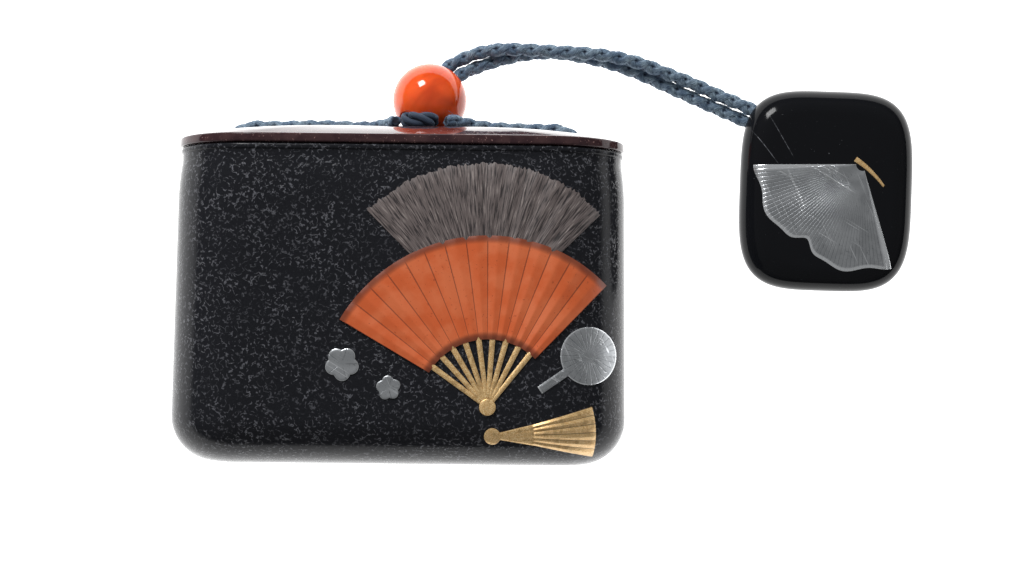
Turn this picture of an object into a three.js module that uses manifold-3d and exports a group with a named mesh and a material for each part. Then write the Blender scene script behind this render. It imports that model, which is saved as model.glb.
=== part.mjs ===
// Lacquered tobacco container with a lift-off lid, a bead and a toggle on a doubled cord.
// Millimetres. The container lies on its back: +Z points out of its decorated front, +Y towards
// its lid and +X to the right. The origin is the middle of the flat back.
import * as THREE from 'three';
import { mergeVertices } from 'three/addons/utils/BufferGeometryUtils.js';
import Module from 'manifold-3d';

const wasm = await Module();
wasm.setup();
const { degToRad, lerp } = THREE.MathUtils;

// Container
const bodyHeight = 62.6;
const footWidth = 91.0;
const rimWidth = 89.8;
const footDepth = 39.4;
const rimDepth = 35.4;
const cornerRadius = 16.5;
const footRoundHeight = 9.4;
const footRoundSide = 9.4;
const footRoundDepth = 14.5;
const wall = 2.4;
const lipHeight = 1.1;
const lipInset = 0.3;
const lipRound = 0.3;
const neckHeight = 1.5;
const neckInset = 0.6;
const neckFlare = 8.0;
const backCentre = 32.0;

// Lid
const seamGap = 0.25;
const bandHeight = 1.8;
const bandRound = 0.4;
const domeRise = 3.3;
const domeFrontPower = 1.9;
const domeSidePower = 4.2;
const lidThickness = 2.2;
const spigotDepth = 4.5;
const spigotThickness = 1.6;
const spigotClearance = 0.3;
const cordHoleSpacing = 70.8;
const cordHoleTilt = degToRad(40);
const cordHoleBack = 6.0;

// Cord, bead, knot and toggle
const cordDiameter = 2.8;
const cordClearance = 0.35;
const beadDiameter = 15.44;
const beadX = 4.81;
const beadClearance = 0.1;
const boreDiameter = 6.0;
const boreHeading = degToRad(57.9);
const boreDip = degToRad(30);
const knotCentre = new THREE.Vector3(3.2, 37.6, 16.6);
const knotRadii = new THREE.Vector3(4.2, 1.6, 2.4);
const toggleWidth = 36.2;
const toggleLength = 42.1;
const toggleThickness = 11.5;
const toggleFaceDome = 0.35;
const toggleEdge = 5.5;
const toggleSquareness = 3.8;
const toggleX = 88.2;
const toggleY = 24.6;
const toggleTurn = degToRad(-1.3);
const toggleHoleDepth = 1.5;

// Raised lacquer, in degrees and millimetres over the container's front
const reliefRoot = 0.8;
const pleatRelief = 0.12;
const ribWidth = 1.1;
const rivetRadius = 1.6;
const greatFan = {
  x: 18, y: 12, from: 46, to: 150, inner: 13, reach: 33, pleats: 14, raised: 0.55, ribs: 9,
};
const darkFan = {
  x: 17, y: 27, from: 45, to: 135, inner: 14, reach: 32, pleats: 12, raised: 0.32, ribs: 0,
};
const goldFan = {
  x: 19, y: 6.4, from: -12, to: 17, inner: 8, reach: 20, pleats: 6, raised: 0.35, ribs: 4,
};

// Inlaid metal
const inlayProud = 0.3;
const inlayDepth = 0.4;
const inlayClearance = 0.12;
const roundFan = { x: 37.5, y: 22, radius: 5.6, handle: 6, handleWidth: 1.6, heading: 215 };
const blossoms = [{ x: -10, y: 20, radius: 3.3, turn: 20 }, { x: -1, y: 15.5, radius: 2.4, turn: -12 }];
const leaf = { x: 6.5, y: 5.5, from: 182, to: 288, stub: 1.4, reach: 22, lobes: 4, wave: 0.5, notch: 3.2 };

// Mesh fineness
const cornerSteps = 8;
const flatSteps = 5;
const roundSteps = 5;
const toggleSteps = 40;
const ballSteps = 22;
const cordSides = 8;
const cordStep = 3;
const leafSteps = 24;

// Each cord's centre line: two over the lid to the knot, two from the bead to the toggle
const cordRoutes = {
  cord_left: [
    [-37.1, 32.72, 11.62], [-35.4, 34.15, 11.57], [-33.7, 35.5, 11.3], [-31.4, 36.25, 10.7],
    [-28.6, 36.29, 10.3], [-25.1, 36.35, 10.0], [-21.5, 36.49, 10.0], [-18, 36.57, 10.0],
    [-14.5, 36.57, 9.75], [-11, 36.46, 9.4], [-8, 36.48, 9.6], [-5.4, 36.7, 10.65],
    [-3.6, 37.0, 12.1], [-2.4, 37.3, 13.7], [-1.8, 37.5, 15.2],
  ],
  cord_right: [
    [37.1, 32.72, 11.62], [35.4, 34.15, 11.57], [33.7, 35.5, 11.3], [31.4, 36.25, 10.7],
    [28.1, 36.31, 10.2], [24.6, 36.36, 9.9], [21, 36.48, 9.9], [18, 36.6, 10.1], [15.6, 36.77, 10.9],
    [13.6, 37.0, 12.1], [11.8, 37.3, 13.6], [10.2, 37.5, 14.9], [8.6, 37.6, 15.8],
  ],
  cord_upper: [
    [6.46, 47.63, 4.6], [7.26, 48.96, 3.9], [8.5, 50.2, 3.2], [10.2, 51.3, 2.85], [13, 52.65, 2.6],
    [16, 53.55, 2.8], [18.9, 53.9, 3.55], [21.9, 53.97, 4.0], [24.8, 53.85, 4.27], [30.8, 53.55, 4.36],
    [36.7, 53.3, 4.3], [42.6, 52.7, 4.1], [48.6, 51.45, 3.72], [54.6, 49.35, 3.3], [60.6, 47.15, 2.65],
    [66.6, 44.5, 2.8], [69.8, 43.2, 3.1], [72.8, 41.8, 3.6], [76.2, 40.1, 4.4],
  ],
  cord_lower: [
    [8.94, 46.17, 4.6], [9.74, 47.34, 3.8], [11.3, 48.7, 2.8], [13.3, 49.8, 2.0], [16, 50.85, 1.5],
    [18.9, 51.85, 1.45], [21.9, 52.6, 1.45], [24.9, 53.2, 1.45], [30.8, 53.6, 1.45], [36.8, 52.85, 1.45],
    [42.8, 51.5, 1.45], [48.8, 49.45, 1.45], [54.8, 46.85, 1.45], [60.8, 44.2, 1.45], [66.7, 41.65, 1.5],
    [71.2, 39.7, 1.8], [74.7, 38.05, 2.6],
  ],
};

// A three.js geometry as a solid, with its faces turned outwards and its points joined
function solid(geometry) {
  geometry.deleteAttribute('normal');
  geometry.deleteAttribute('uv');
  const merged = mergeVertices(geometry, 1e-4);
  return new wasm.Manifold(new wasm.Mesh({
    numProp: 3,
    vertProperties: new Float32Array(merged.getAttribute('position').array),
    triVerts: new Uint32Array(merged.getIndex().array),
  }));
}

function skin(points, faces) {
  let volume = 0;
  const cross = new THREE.Vector3();
  for (const [a, b, c] of faces) volume += points[a].dot(cross.crossVectors(points[b], points[c]));
  const geometry = new THREE.BufferGeometry().setFromPoints(points);
  geometry.setIndex(faces.flatMap(([a, b, c]) => (volume > 0 ? [a, b, c] : [a, c, b])));
  return solid(geometry);
}

// Rings of points with equal counts, skinned into one solid with closed ends
function loft(rings) {
  const count = rings[0].length;
  const points = rings.flat();
  const faces = [];
  for (let i = 0; i + 1 < rings.length; i += 1) {
    for (let j = 0; j < count; j += 1) {
      const a = i * count + j;
      const b = i * count + (j + 1) % count;
      faces.push([a, b, a + count], [b, b + count, a + count]);
    }
  }
  [0, rings.length - 1].forEach((place, end) => {
    const centre = rings[place].reduce((sum, p) => sum.add(p), new THREE.Vector3());
    const middle = points.push(centre.divideScalar(count)) - 1;
    for (let j = 0; j < count; j += 1) {
      const pair = [place * count + j, place * count + (j + 1) % count];
      faces.push(end ? [pair[0], pair[1], middle] : [pair[1], pair[0], middle]);
    }
  });
  return skin(points, faces);
}

// A four-sided patch between two surfaces; place turns shares of it into x and y
function patch(place, across, along, top, bottom) {
  const columns = across + 1;
  const layer = columns * (along + 1);
  const points = [];
  for (const surface of [bottom, top]) {
    for (let i = 0; i <= along; i += 1) {
      for (let j = 0; j <= across; j += 1) {
        const [x, y] = place(j / across, i / along);
        points.push(new THREE.Vector3(x, y, surface(x, y, j)));
      }
    }
  }
  const faces = [];
  const quad = (a, b, c, d) => faces.push([a, b, c], [a, c, d]);
  for (let i = 0; i < along; i += 1) {
    for (let j = 0; j < across; j += 1) {
      const a = i * columns + j;
      quad(a, a + 1, a + 1 + columns, a + columns);
      quad(layer + a, layer + a + columns, layer + a + 1 + columns, layer + a + 1);
    }
    const left = i * columns;
    const right = left + across;
    quad(left, left + columns, layer + left + columns, layer + left);
    quad(right, layer + right, layer + right + columns, right + columns);
  }
  for (let j = 0; j < across; j += 1) {
    const end = along * columns + j;
    quad(j, layer + j, layer + j + 1, j + 1);
    quad(end, end + 1, layer + end + 1, layer + end);
  }
  return skin(points, faces);
}

// A round bar between two points
function bar(start, end, radius, sides = 20) {
  const axis = new THREE.Vector3().subVectors(end, start);
  const geometry = new THREE.CylinderGeometry(radius, radius, axis.length(), sides);
  geometry.applyQuaternion(new THREE.Quaternion().setFromUnitVectors(
    new THREE.Vector3(0, 1, 0), axis.normalize(),
  ));
  const middle = new THREE.Vector3().addVectors(start, end).multiplyScalar(0.5);
  geometry.translate(middle.x, middle.y, middle.z);
  return solid(geometry);
}

function mesh(name, shape, colour, roughness, metalness = 0) {
  const { vertProperties, triVerts } = shape.getMesh();
  const geometry = new THREE.BufferGeometry();
  geometry.setAttribute('position', new THREE.BufferAttribute(vertProperties, 3));
  geometry.setIndex(new THREE.BufferAttribute(triVerts, 1));
  geometry.computeVertexNormals();
  const material = new THREE.MeshStandardMaterial({ color: colour, roughness, metalness });
  const result = new THREE.Mesh(geometry, material);
  result.name = name;
  return result;
}

// How far a quarter-round of the given height and reach stands in at a distance from its end
function quarterRound(distance, height, reach) {
  const left = Math.max(0, 1 - distance / height);
  return reach * (1 - Math.sqrt(1 - left ** 2));
}

// How far the neck stands in from the container's even slope
function neckAt(height) {
  const left = (bodyHeight - lipHeight - neckHeight - height) / neckFlare;
  return neckInset * (1 - THREE.MathUtils.clamp(left, 0, 1)) ** 2;
}

// Half width, half depth and corner radius of the container at a height above its foot,
// with its whole skin moved inwards
function section(height, inwards = 0) {
  const share = height / bodyHeight;
  const evenDepth = lerp(footDepth, rimDepth, share) / 2;
  const rounding = footRoundHeight - inwards;
  const above = height - inwards;
  const halfWidth = lerp(footWidth, rimWidth, share) / 2 - inwards
    - quarterRound(above, rounding, footRoundSide - inwards);
  const halfDepth = evenDepth - inwards - quarterRound(above, rounding, footRoundDepth - inwards);
  return { halfWidth, halfDepth, radius: cornerRadius * halfDepth / evenDepth };
}

// A section's outline as a ring of points at one height, moved inwards
function ringAt(height, { halfWidth, halfDepth, radius }, inwards = 0) {
  const ring = [];
  const round = Math.max(radius - inwards, 0.2);
  const flatX = halfWidth - inwards - round;
  const flatZ = halfDepth - inwards - round;
  [[1, 1], [-1, 1], [-1, -1], [1, -1]].forEach(([sx, sz], corner) => {
    for (let i = 0; i <= cornerSteps; i += 1) {
      const angle = Math.PI / 2 * (corner + i / cornerSteps);
      const [x, z] = [sx * flatX + round * Math.cos(angle), sz * flatZ + round * Math.sin(angle)];
      ring.push(new THREE.Vector3(x, height, z));
    }
    for (let i = 1; sx === sz && i < flatSteps; i += 1) {
      ring.push(new THREE.Vector3(sx * flatX * (1 - 2 * i / flatSteps), height, sz * (flatZ + round)));
    }
  });
  return ring;
}

// The front's distance from the container's middle plane
function frontAt(x, height) {
  const { halfWidth, halfDepth, radius } = section(height);
  const over = Math.max(Math.abs(x) - (halfWidth - radius), 0);
  return halfDepth - neckAt(height) - radius + Math.sqrt(Math.max(radius ** 2 - over ** 2, 0));
}

// Heights of the rings round the foot, from the flat strip up to the even slope
function footHeights(inwards) {
  const heights = [];
  for (let i = 0; i <= roundSteps; i += 1) {
    heights.push(inwards + (footRoundHeight - inwards) * (1 - Math.cos(Math.PI / 2 * i / roundSteps)));
  }
  return heights;
}

function polar(centre, angle, radius) {
  return [centre.x + radius * Math.cos(degToRad(angle)), centre.y + radius * Math.sin(degToRad(angle))];
}

// A straight strip that leaves a centre at a heading; place for patch
function strip(centre, heading, from, to, width) {
  return (u, v) => {
    const [x, y] = polar(centre, heading, lerp(from, to, v));
    return polar({ x, y }, heading + 90, lerp(-width / 2, width / 2, u));
  };
}

// A folding fan: a pleated leaf, bare ribs below it and a rivet where they meet
function fanRelief(fan) {
  const root = (x, y) => frontAt(x, y) - reliefRoot;
  const sector = (u, v) => polar(fan, lerp(fan.from, fan.to, u), lerp(fan.inner, fan.reach, v));
  const fold = (j) => (j % 2 ? pleatRelief : -pleatRelief);
  const parts = [patch(sector, 2 * fan.pleats, 4, (x, y, j) => frontAt(x, y) + fan.raised + fold(j), root)];
  for (let i = 0; i < fan.ribs; i += 1) {
    const heading = lerp(fan.from, fan.to, (i + 0.5) / fan.ribs);
    const place = strip(fan, heading, 0.9, fan.inner + 0.4, ribWidth);
    parts.push(patch(place, 1, 3, (x, y) => frontAt(x, y) + fan.raised * 0.7, root));
  }
  if (fan.ribs) parts.push(disc(fan, () => rivetRadius, frontAt, fan.raised, reliefRoot, 14));
  return parts;
}

// A plate with a round or waving edge in a surface, standing proud of it and reaching depth into it
function disc(centre, edge, surface, proud, depth, steps = 25) {
  const ring = (share, lift) => {
    const points = [];
    for (let i = 0; i < steps; i += 1) {
      const angle = 360 * i / steps;
      const [x, y] = polar(centre, angle, share * edge(angle));
      points.push(new THREE.Vector3(x, y, surface(x, y) + lift));
    }
    return points;
  };
  const shares = [0.5, 1];
  return loft([
    ...shares.map((share) => ring(share, -depth)), ...shares.toReversed().map((share) => ring(share, proud)),
  ]);
}

// The inlays' plates; grow widens one into the tool that cuts its recess
function blossomPlate(blossom, proud, depth, grow = 0) {
  const edge = (angle) => (
    blossom.radius * (0.8 + 0.2 * Math.abs(Math.sin(degToRad(2.5 * (angle - blossom.turn))))) + grow
  );
  return disc(blossom, edge, frontAt, proud, depth);
}

function roundFanPlate(proud, depth, grow = 0) {
  const { radius, handle, handleWidth, heading } = roundFan;
  const face = disc(roundFan, () => radius + grow, frontAt, proud, depth);
  const place = strip(roundFan, heading, radius - 1, radius + handle + grow, handleWidth + 2 * grow);
  return face.add(patch(place, 1, 5, (x, y) => frontAt(x, y) + proud, (x, y) => frontAt(x, y) - depth));
}

function containerBody() {
  const neckTop = bodyHeight - lipHeight;
  const neckFoot = neckTop - neckHeight;
  const flareFoot = neckFoot - neckFlare;
  const heights = footHeights(0);
  for (const share of [0, 0.4, 0.75, 1]) heights.push(lerp(flareFoot, neckFoot, share));
  const rings = heights.map((height) => ringAt(height, section(height), neckAt(height)));
  const rim = [
    [neckTop - 0.1, neckInset], [neckTop + 0.1, lipInset],
    [bodyHeight - lipRound, lipInset], [bodyHeight, lipInset + lipRound],
  ];
  for (const [height, inset] of rim) rings.push(ringAt(height, section(height), inset));
  let body = loft(rings);
  for (const piece of [darkFan, greatFan, goldFan].flatMap(fanRelief)) body = body.add(piece);

  const hollow = footHeights(wall).map((height) => ringAt(height, section(height, wall)));
  for (const height of [flareFoot, neckFoot, bodyHeight + 1]) {
    hollow.push(ringAt(height, section(height, wall), neckAt(height)));
  }
  body = body.subtract(loft(hollow));

  const sunk = inlayDepth + inlayClearance;
  for (const blossom of blossoms) body = body.subtract(blossomPlate(blossom, 1, sunk, inlayClearance));
  return body.subtract(roundFanPlate(1, sunk, inlayClearance));
}

const lidFoot = bodyHeight + seamGap;
const lidCrown = lidFoot + bandHeight;
const lidSection = section(lidCrown);

// The dome's height over the band where an edge point is shrunk towards the middle by scale
function domeAt(x, z, scale) {
  const sideways = Math.abs(x / lidSection.halfWidth) ** domeSidePower;
  const forwards = Math.abs(z / lidSection.halfDepth) ** domeFrontPower;
  const lost = sideways * scale ** domeSidePower + forwards * scale ** domeFrontPower;
  return domeRise * (1 - lost / (sideways + forwards));
}

function domeRing(edge, scale, drop) {
  return edge.map(({ x, z }) => (
    new THREE.Vector3(x * scale, lidCrown + domeAt(x, z, scale) - drop, z * scale)
  ));
}

// The lid's upper face over a place, found from the outline that runs through it
function lidTop(x, z) {
  const flatX = lidSection.halfWidth - lidSection.radius;
  const flatZ = lidSection.halfDepth - lidSection.radius;
  let [low, high] = [0.001, 1];
  for (let i = 0; i < 30; i += 1) {
    const scale = (low + high) / 2;
    const over = [Math.abs(x / scale) - flatX, Math.abs(z / scale) - flatZ].map((d) => Math.max(d, 0));
    if (Math.hypot(...over) > lidSection.radius - bandRound) low = scale;
    else high = scale;
  }
  return lidCrown + domeAt(x / high, z / high, high);
}

function lidShape() {
  const band = [
    [lidFoot, bandRound], [lidFoot + bandRound, 0], [lidCrown - bandRound, 0], [lidCrown, bandRound],
  ];
  const rings = band.map(([height, inset]) => ringAt(height, lidSection, inset));
  const crown = rings[rings.length - 1];
  const scales = [0.96, 0.9, 0.81, 0.68, 0.51, 0.28];
  for (const scale of scales) rings.push(domeRing(crown, scale, 0));
  let lid = loft(rings);

  const mouth = section(bodyHeight, wall);
  const spigotInset = neckInset + spigotClearance;
  const spigotFoot = lidFoot - spigotDepth;
  lid = lid.add(loft([
    ringAt(spigotFoot, mouth, spigotInset + 0.3), ringAt(spigotFoot + 0.4, mouth, spigotInset),
    ringAt(lidFoot + 0.5, mouth, spigotInset),
  ]));

  const hollow = [spigotFoot - 1, lidCrown - lidThickness].map((height) => (
    ringAt(height, mouth, spigotInset + spigotThickness)
  ));
  const share = hollow[0][0].x / crown[0].x;
  for (const scale of scales) {
    if (scale < share - 0.04) hollow.push(domeRing(crown, scale, lidThickness));
  }
  lid = lid.subtract(loft(hollow));

  for (const side of [-1, 1]) {
    const x = side * cordHoleSpacing / 2;
    const surface = new THREE.Vector3(x, lidTop(x, -cordHoleBack), -cordHoleBack);
    const slope = new THREE.Vector3(-side * Math.cos(cordHoleTilt), Math.sin(cordHoleTilt), 0);
    const [deep, high] = [-5.5, 6].map((reach) => surface.clone().addScaledVector(slope, reach));
    lid = lid.subtract(bar(deep, high, cordDiameter / 2 + cordClearance, 16));
  }
  return lid;
}

// The container is modelled standing, its mouth towards +Y, and is laid on its leaning back
const lean = Math.atan((footDepth - rimDepth) / 2 / bodyHeight);
const container = new THREE.Group();
container.rotation.x = -lean;
container.position.set(0, -backCentre, footDepth / 2 * Math.cos(lean));
container.updateMatrixWorld();

// The bead lies on the table and against the lid's dome
const beadRadius = beadDiameter / 2;
function beadY() {
  const reach = beadRadius + beadClearance;
  let y = 0;
  for (let x = beadX - reach; x <= beadX + reach; x += 0.4) {
    for (let z = -lidSection.halfDepth + 1; z <= 0; z += 0.4) {
      const point = new THREE.Vector3(x, lidTop(x, z), z).applyMatrix4(container.matrixWorld);
      const across = (x - beadX) ** 2 + (point.z - beadRadius) ** 2;
      if (across < reach ** 2) y = Math.max(y, point.y + Math.sqrt(reach ** 2 - across));
    }
  }
  return y;
}

function beadShape() {
  const ball = new THREE.SphereGeometry(beadRadius, ballSteps, ballSteps / 2);
  ball.rotateX(Math.PI / 2);
  const way = new THREE.Vector3(
    Math.cos(boreDip) * Math.cos(boreHeading), Math.cos(boreDip) * Math.sin(boreHeading), -Math.sin(boreDip),
  );
  const [start, end] = [-1.2, 1.2].map((share) => way.clone().multiplyScalar(share * beadRadius));
  return solid(ball).subtract(bar(start, end, boreDiameter / 2, 20));
}

function knotShape() {
  const ball = new THREE.SphereGeometry(1, 14, 9);
  ball.scale(...knotRadii);
  ball.translate(...knotCentre);
  return solid(ball);
}

// Toggle: a cushion of superellipse outlines between a flat back and a gently domed face
const toggleHalf = (toggleThickness - toggleFaceDome) / 2;
function toggleOutline(inset, z, scale = 1) {
  const ring = [];
  const power = 2 / toggleSquareness;
  for (let i = 0; i < toggleSteps; i += 1) {
    const angle = 2 * Math.PI * i / toggleSteps;
    const [c, s] = [Math.cos(angle), Math.sin(angle)];
    ring.push(new THREE.Vector3(
      scale * (toggleWidth / 2 - inset) * Math.sign(c) * Math.abs(c) ** power,
      scale * (toggleLength / 2 - inset) * Math.sign(s) * Math.abs(s) ** power,
      z,
    ));
  }
  return ring;
}

// The toggle's face at a place, found from the outline that runs through it
function toggleTop(x, y) {
  const size = (inset) => (
    Math.abs(x / (toggleWidth / 2 - inset)) ** toggleSquareness
    + Math.abs(y / (toggleLength / 2 - inset)) ** toggleSquareness
  );
  const face = size(toggleEdge);
  if (face <= 1) return toggleHalf * 2 + toggleFaceDome * (1 - face ** (2 / toggleSquareness));
  let [low, high] = [0, toggleEdge];
  for (let i = 0; i < 30; i += 1) {
    const middle = (low + high) / 2;
    if (size(middle) > 1) high = middle;
    else low = middle;
  }
  return toggleHalf * (1 + Math.sqrt(1 - (1 - low / toggleEdge) ** 2));
}

// A ginkgo leaf; moving its tip back widens its two straight sides by grow
function leafPlate(proud, depth, grow = 0) {
  const aim = (leaf.from + leaf.to) / 2;
  const half = (leaf.to - leaf.from) / 2;
  const back = grow / Math.sin(degToRad(half));
  const [x, y] = polar(leaf, aim, -back);
  const place = (u, v) => {
    const off = lerp(-1, 1, u);
    const moved = back * Math.cos(degToRad(off * half));
    const notch = leaf.notch * Math.exp(-((off / 0.12) ** 2));
    const wave = leaf.wave * Math.cos(Math.PI * leaf.lobes * off) - notch;
    return polar({ x, y }, aim + off * half, moved + lerp(leaf.stub - grow, leaf.reach + wave + grow, v));
  };
  const face = (lift) => (px, py) => toggleTop(px, py) + lift;
  return patch(place, leafSteps, 4, face(proud), face(-depth));
}

const toggle = new THREE.Group();
toggle.position.set(toggleX, toggleY, 0);
toggle.rotation.z = toggleTurn;
toggle.updateMatrixWorld();

function toggleShape() {
  const rings = [];
  for (let i = -roundSteps; i <= roundSteps; i += 1) {
    const angle = Math.PI / 2 * i / roundSteps;
    rings.push(toggleOutline(toggleEdge * (1 - Math.cos(angle)), toggleHalf * (1 + Math.sin(angle))));
  }
  for (const scale of [0.66, 0.33]) {
    rings.push(toggleOutline(toggleEdge, toggleHalf * 2 + toggleFaceDome * (1 - scale ** 2), scale));
  }
  let body = loft(rings).subtract(leafPlate(1, inlayDepth + inlayClearance, inlayClearance));
  for (const name of ['cord_upper', 'cord_lower']) {
    const ends = cordRoutes[name].slice(-2).map((p) => toggle.worldToLocal(new THREE.Vector3(...p)));
    const way = new THREE.Vector3().subVectors(ends[1], ends[0]).normalize();
    const start = ends[0].addScaledVector(way, -4);
    const end = ends[1].addScaledVector(way, toggleHoleDepth);
    body = body.subtract(bar(start, end, cordDiameter / 2 + cordClearance, 16));
  }
  return body;
}

function cordShape(name) {
  const route = cordRoutes[name].map((p) => new THREE.Vector3(...p));
  const curve = new THREE.CatmullRomCurve3(route, false, 'centripetal');
  const corners = [];
  for (let i = 0; i < cordSides; i += 1) {
    const angle = 2 * Math.PI * (i + 0.5) / cordSides;
    corners.push(new THREE.Vector2(Math.cos(angle), Math.sin(angle)).multiplyScalar(cordDiameter / 2));
  }
  const steps = Math.round(curve.getLength() / cordStep);
  const outline = new THREE.Shape(corners);
  return solid(new THREE.ExtrudeGeometry(outline, { steps, extrudePath: curve, bevelEnabled: false }));
}

const pewter = 0x6f7678;
container.add(mesh('container_body', containerBody(), 0x1b1c20, 0.35));
container.add(mesh('lid', lidShape(), 0x432a2c, 0.15));
container.add(mesh('fan_inlay', roundFanPlate(inlayProud, inlayDepth), pewter, 0.45, 0.9));
blossoms.forEach((blossom, i) => {
  const plate = blossomPlate(blossom, inlayProud, inlayDepth);
  container.add(mesh(`blossom_inlay_${i + 1}`, plate, pewter, 0.45, 0.9));
});
toggle.add(mesh('toggle', toggleShape(), 0x17181b, 0.1));
toggle.add(mesh('toggle_inlay', leafPlate(inlayProud, inlayDepth), pewter, 0.4, 0.9));

const bead = mesh('bead', beadShape(), 0xc8461c, 0.1);
bead.position.set(beadX, beadY(), beadRadius);

const model = new THREE.Group();
model.add(container, toggle, bead, mesh('knot', knotShape(), 0x2a3648, 0.9));
for (const name of Object.keys(cordRoutes)) model.add(mesh(name, cordShape(name), 0x35465c, 0.9));

export default model;
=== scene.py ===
import logging
import math
import random
from dataclasses import dataclass
from enum import Enum
from typing import Callable, Sequence

import bpy
import numpy as np
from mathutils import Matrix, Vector

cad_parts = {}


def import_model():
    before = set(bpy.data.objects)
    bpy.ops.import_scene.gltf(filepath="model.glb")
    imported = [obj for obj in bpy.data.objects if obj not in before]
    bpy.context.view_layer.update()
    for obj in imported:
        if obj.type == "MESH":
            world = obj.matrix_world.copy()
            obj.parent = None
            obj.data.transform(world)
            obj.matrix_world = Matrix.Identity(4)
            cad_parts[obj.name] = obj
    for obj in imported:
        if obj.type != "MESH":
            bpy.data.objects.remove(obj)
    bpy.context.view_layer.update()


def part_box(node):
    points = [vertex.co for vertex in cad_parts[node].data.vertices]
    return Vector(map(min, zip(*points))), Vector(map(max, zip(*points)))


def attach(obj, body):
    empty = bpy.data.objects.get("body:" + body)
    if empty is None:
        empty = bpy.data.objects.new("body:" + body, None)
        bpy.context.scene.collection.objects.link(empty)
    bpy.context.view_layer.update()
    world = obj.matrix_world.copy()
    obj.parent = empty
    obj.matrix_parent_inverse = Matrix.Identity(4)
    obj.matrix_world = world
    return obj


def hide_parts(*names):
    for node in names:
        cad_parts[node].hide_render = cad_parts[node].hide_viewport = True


MM = 0.001
BODY = "root"
INLAY_PROUD = 0.3
BRAID_SHARP = 70.0
LOG = logging.getLogger("tobacco_container")

Grid = np.ndarray
Surface = Callable[[Grid, Grid], Grid]


class Slot(Enum):
    """The record's material slots."""

    BLACK = "black_lacquer"
    BROWN = "brown_lacquer"
    POLISHED = "polished_lacquer"
    VERMILION = "vermilion_lacquer"
    GOLD = "gold_lacquer"
    CHARCOAL = "charcoal_lacquer"
    PEWTER = "pewter"
    CORAL = "coral_bead"
    CORD = "blue_cord"


def linear(code: str) -> tuple[float, float, float, float]:
    """Turns an sRGB colour into Blender's linear one.

    Args:
        code: The colour as #rrggbb.

    Returns:
        Linear red, green and blue, and full alpha.
    """
    values = [int(code[i:i + 2], 16) / 255 for i in (1, 3, 5)]
    lights = [v / 12.92 if v <= 0.04045 else ((v + 0.055) / 1.055) ** 2.4 for v in values]
    return (lights[0], lights[1], lights[2], 1.0)


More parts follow.
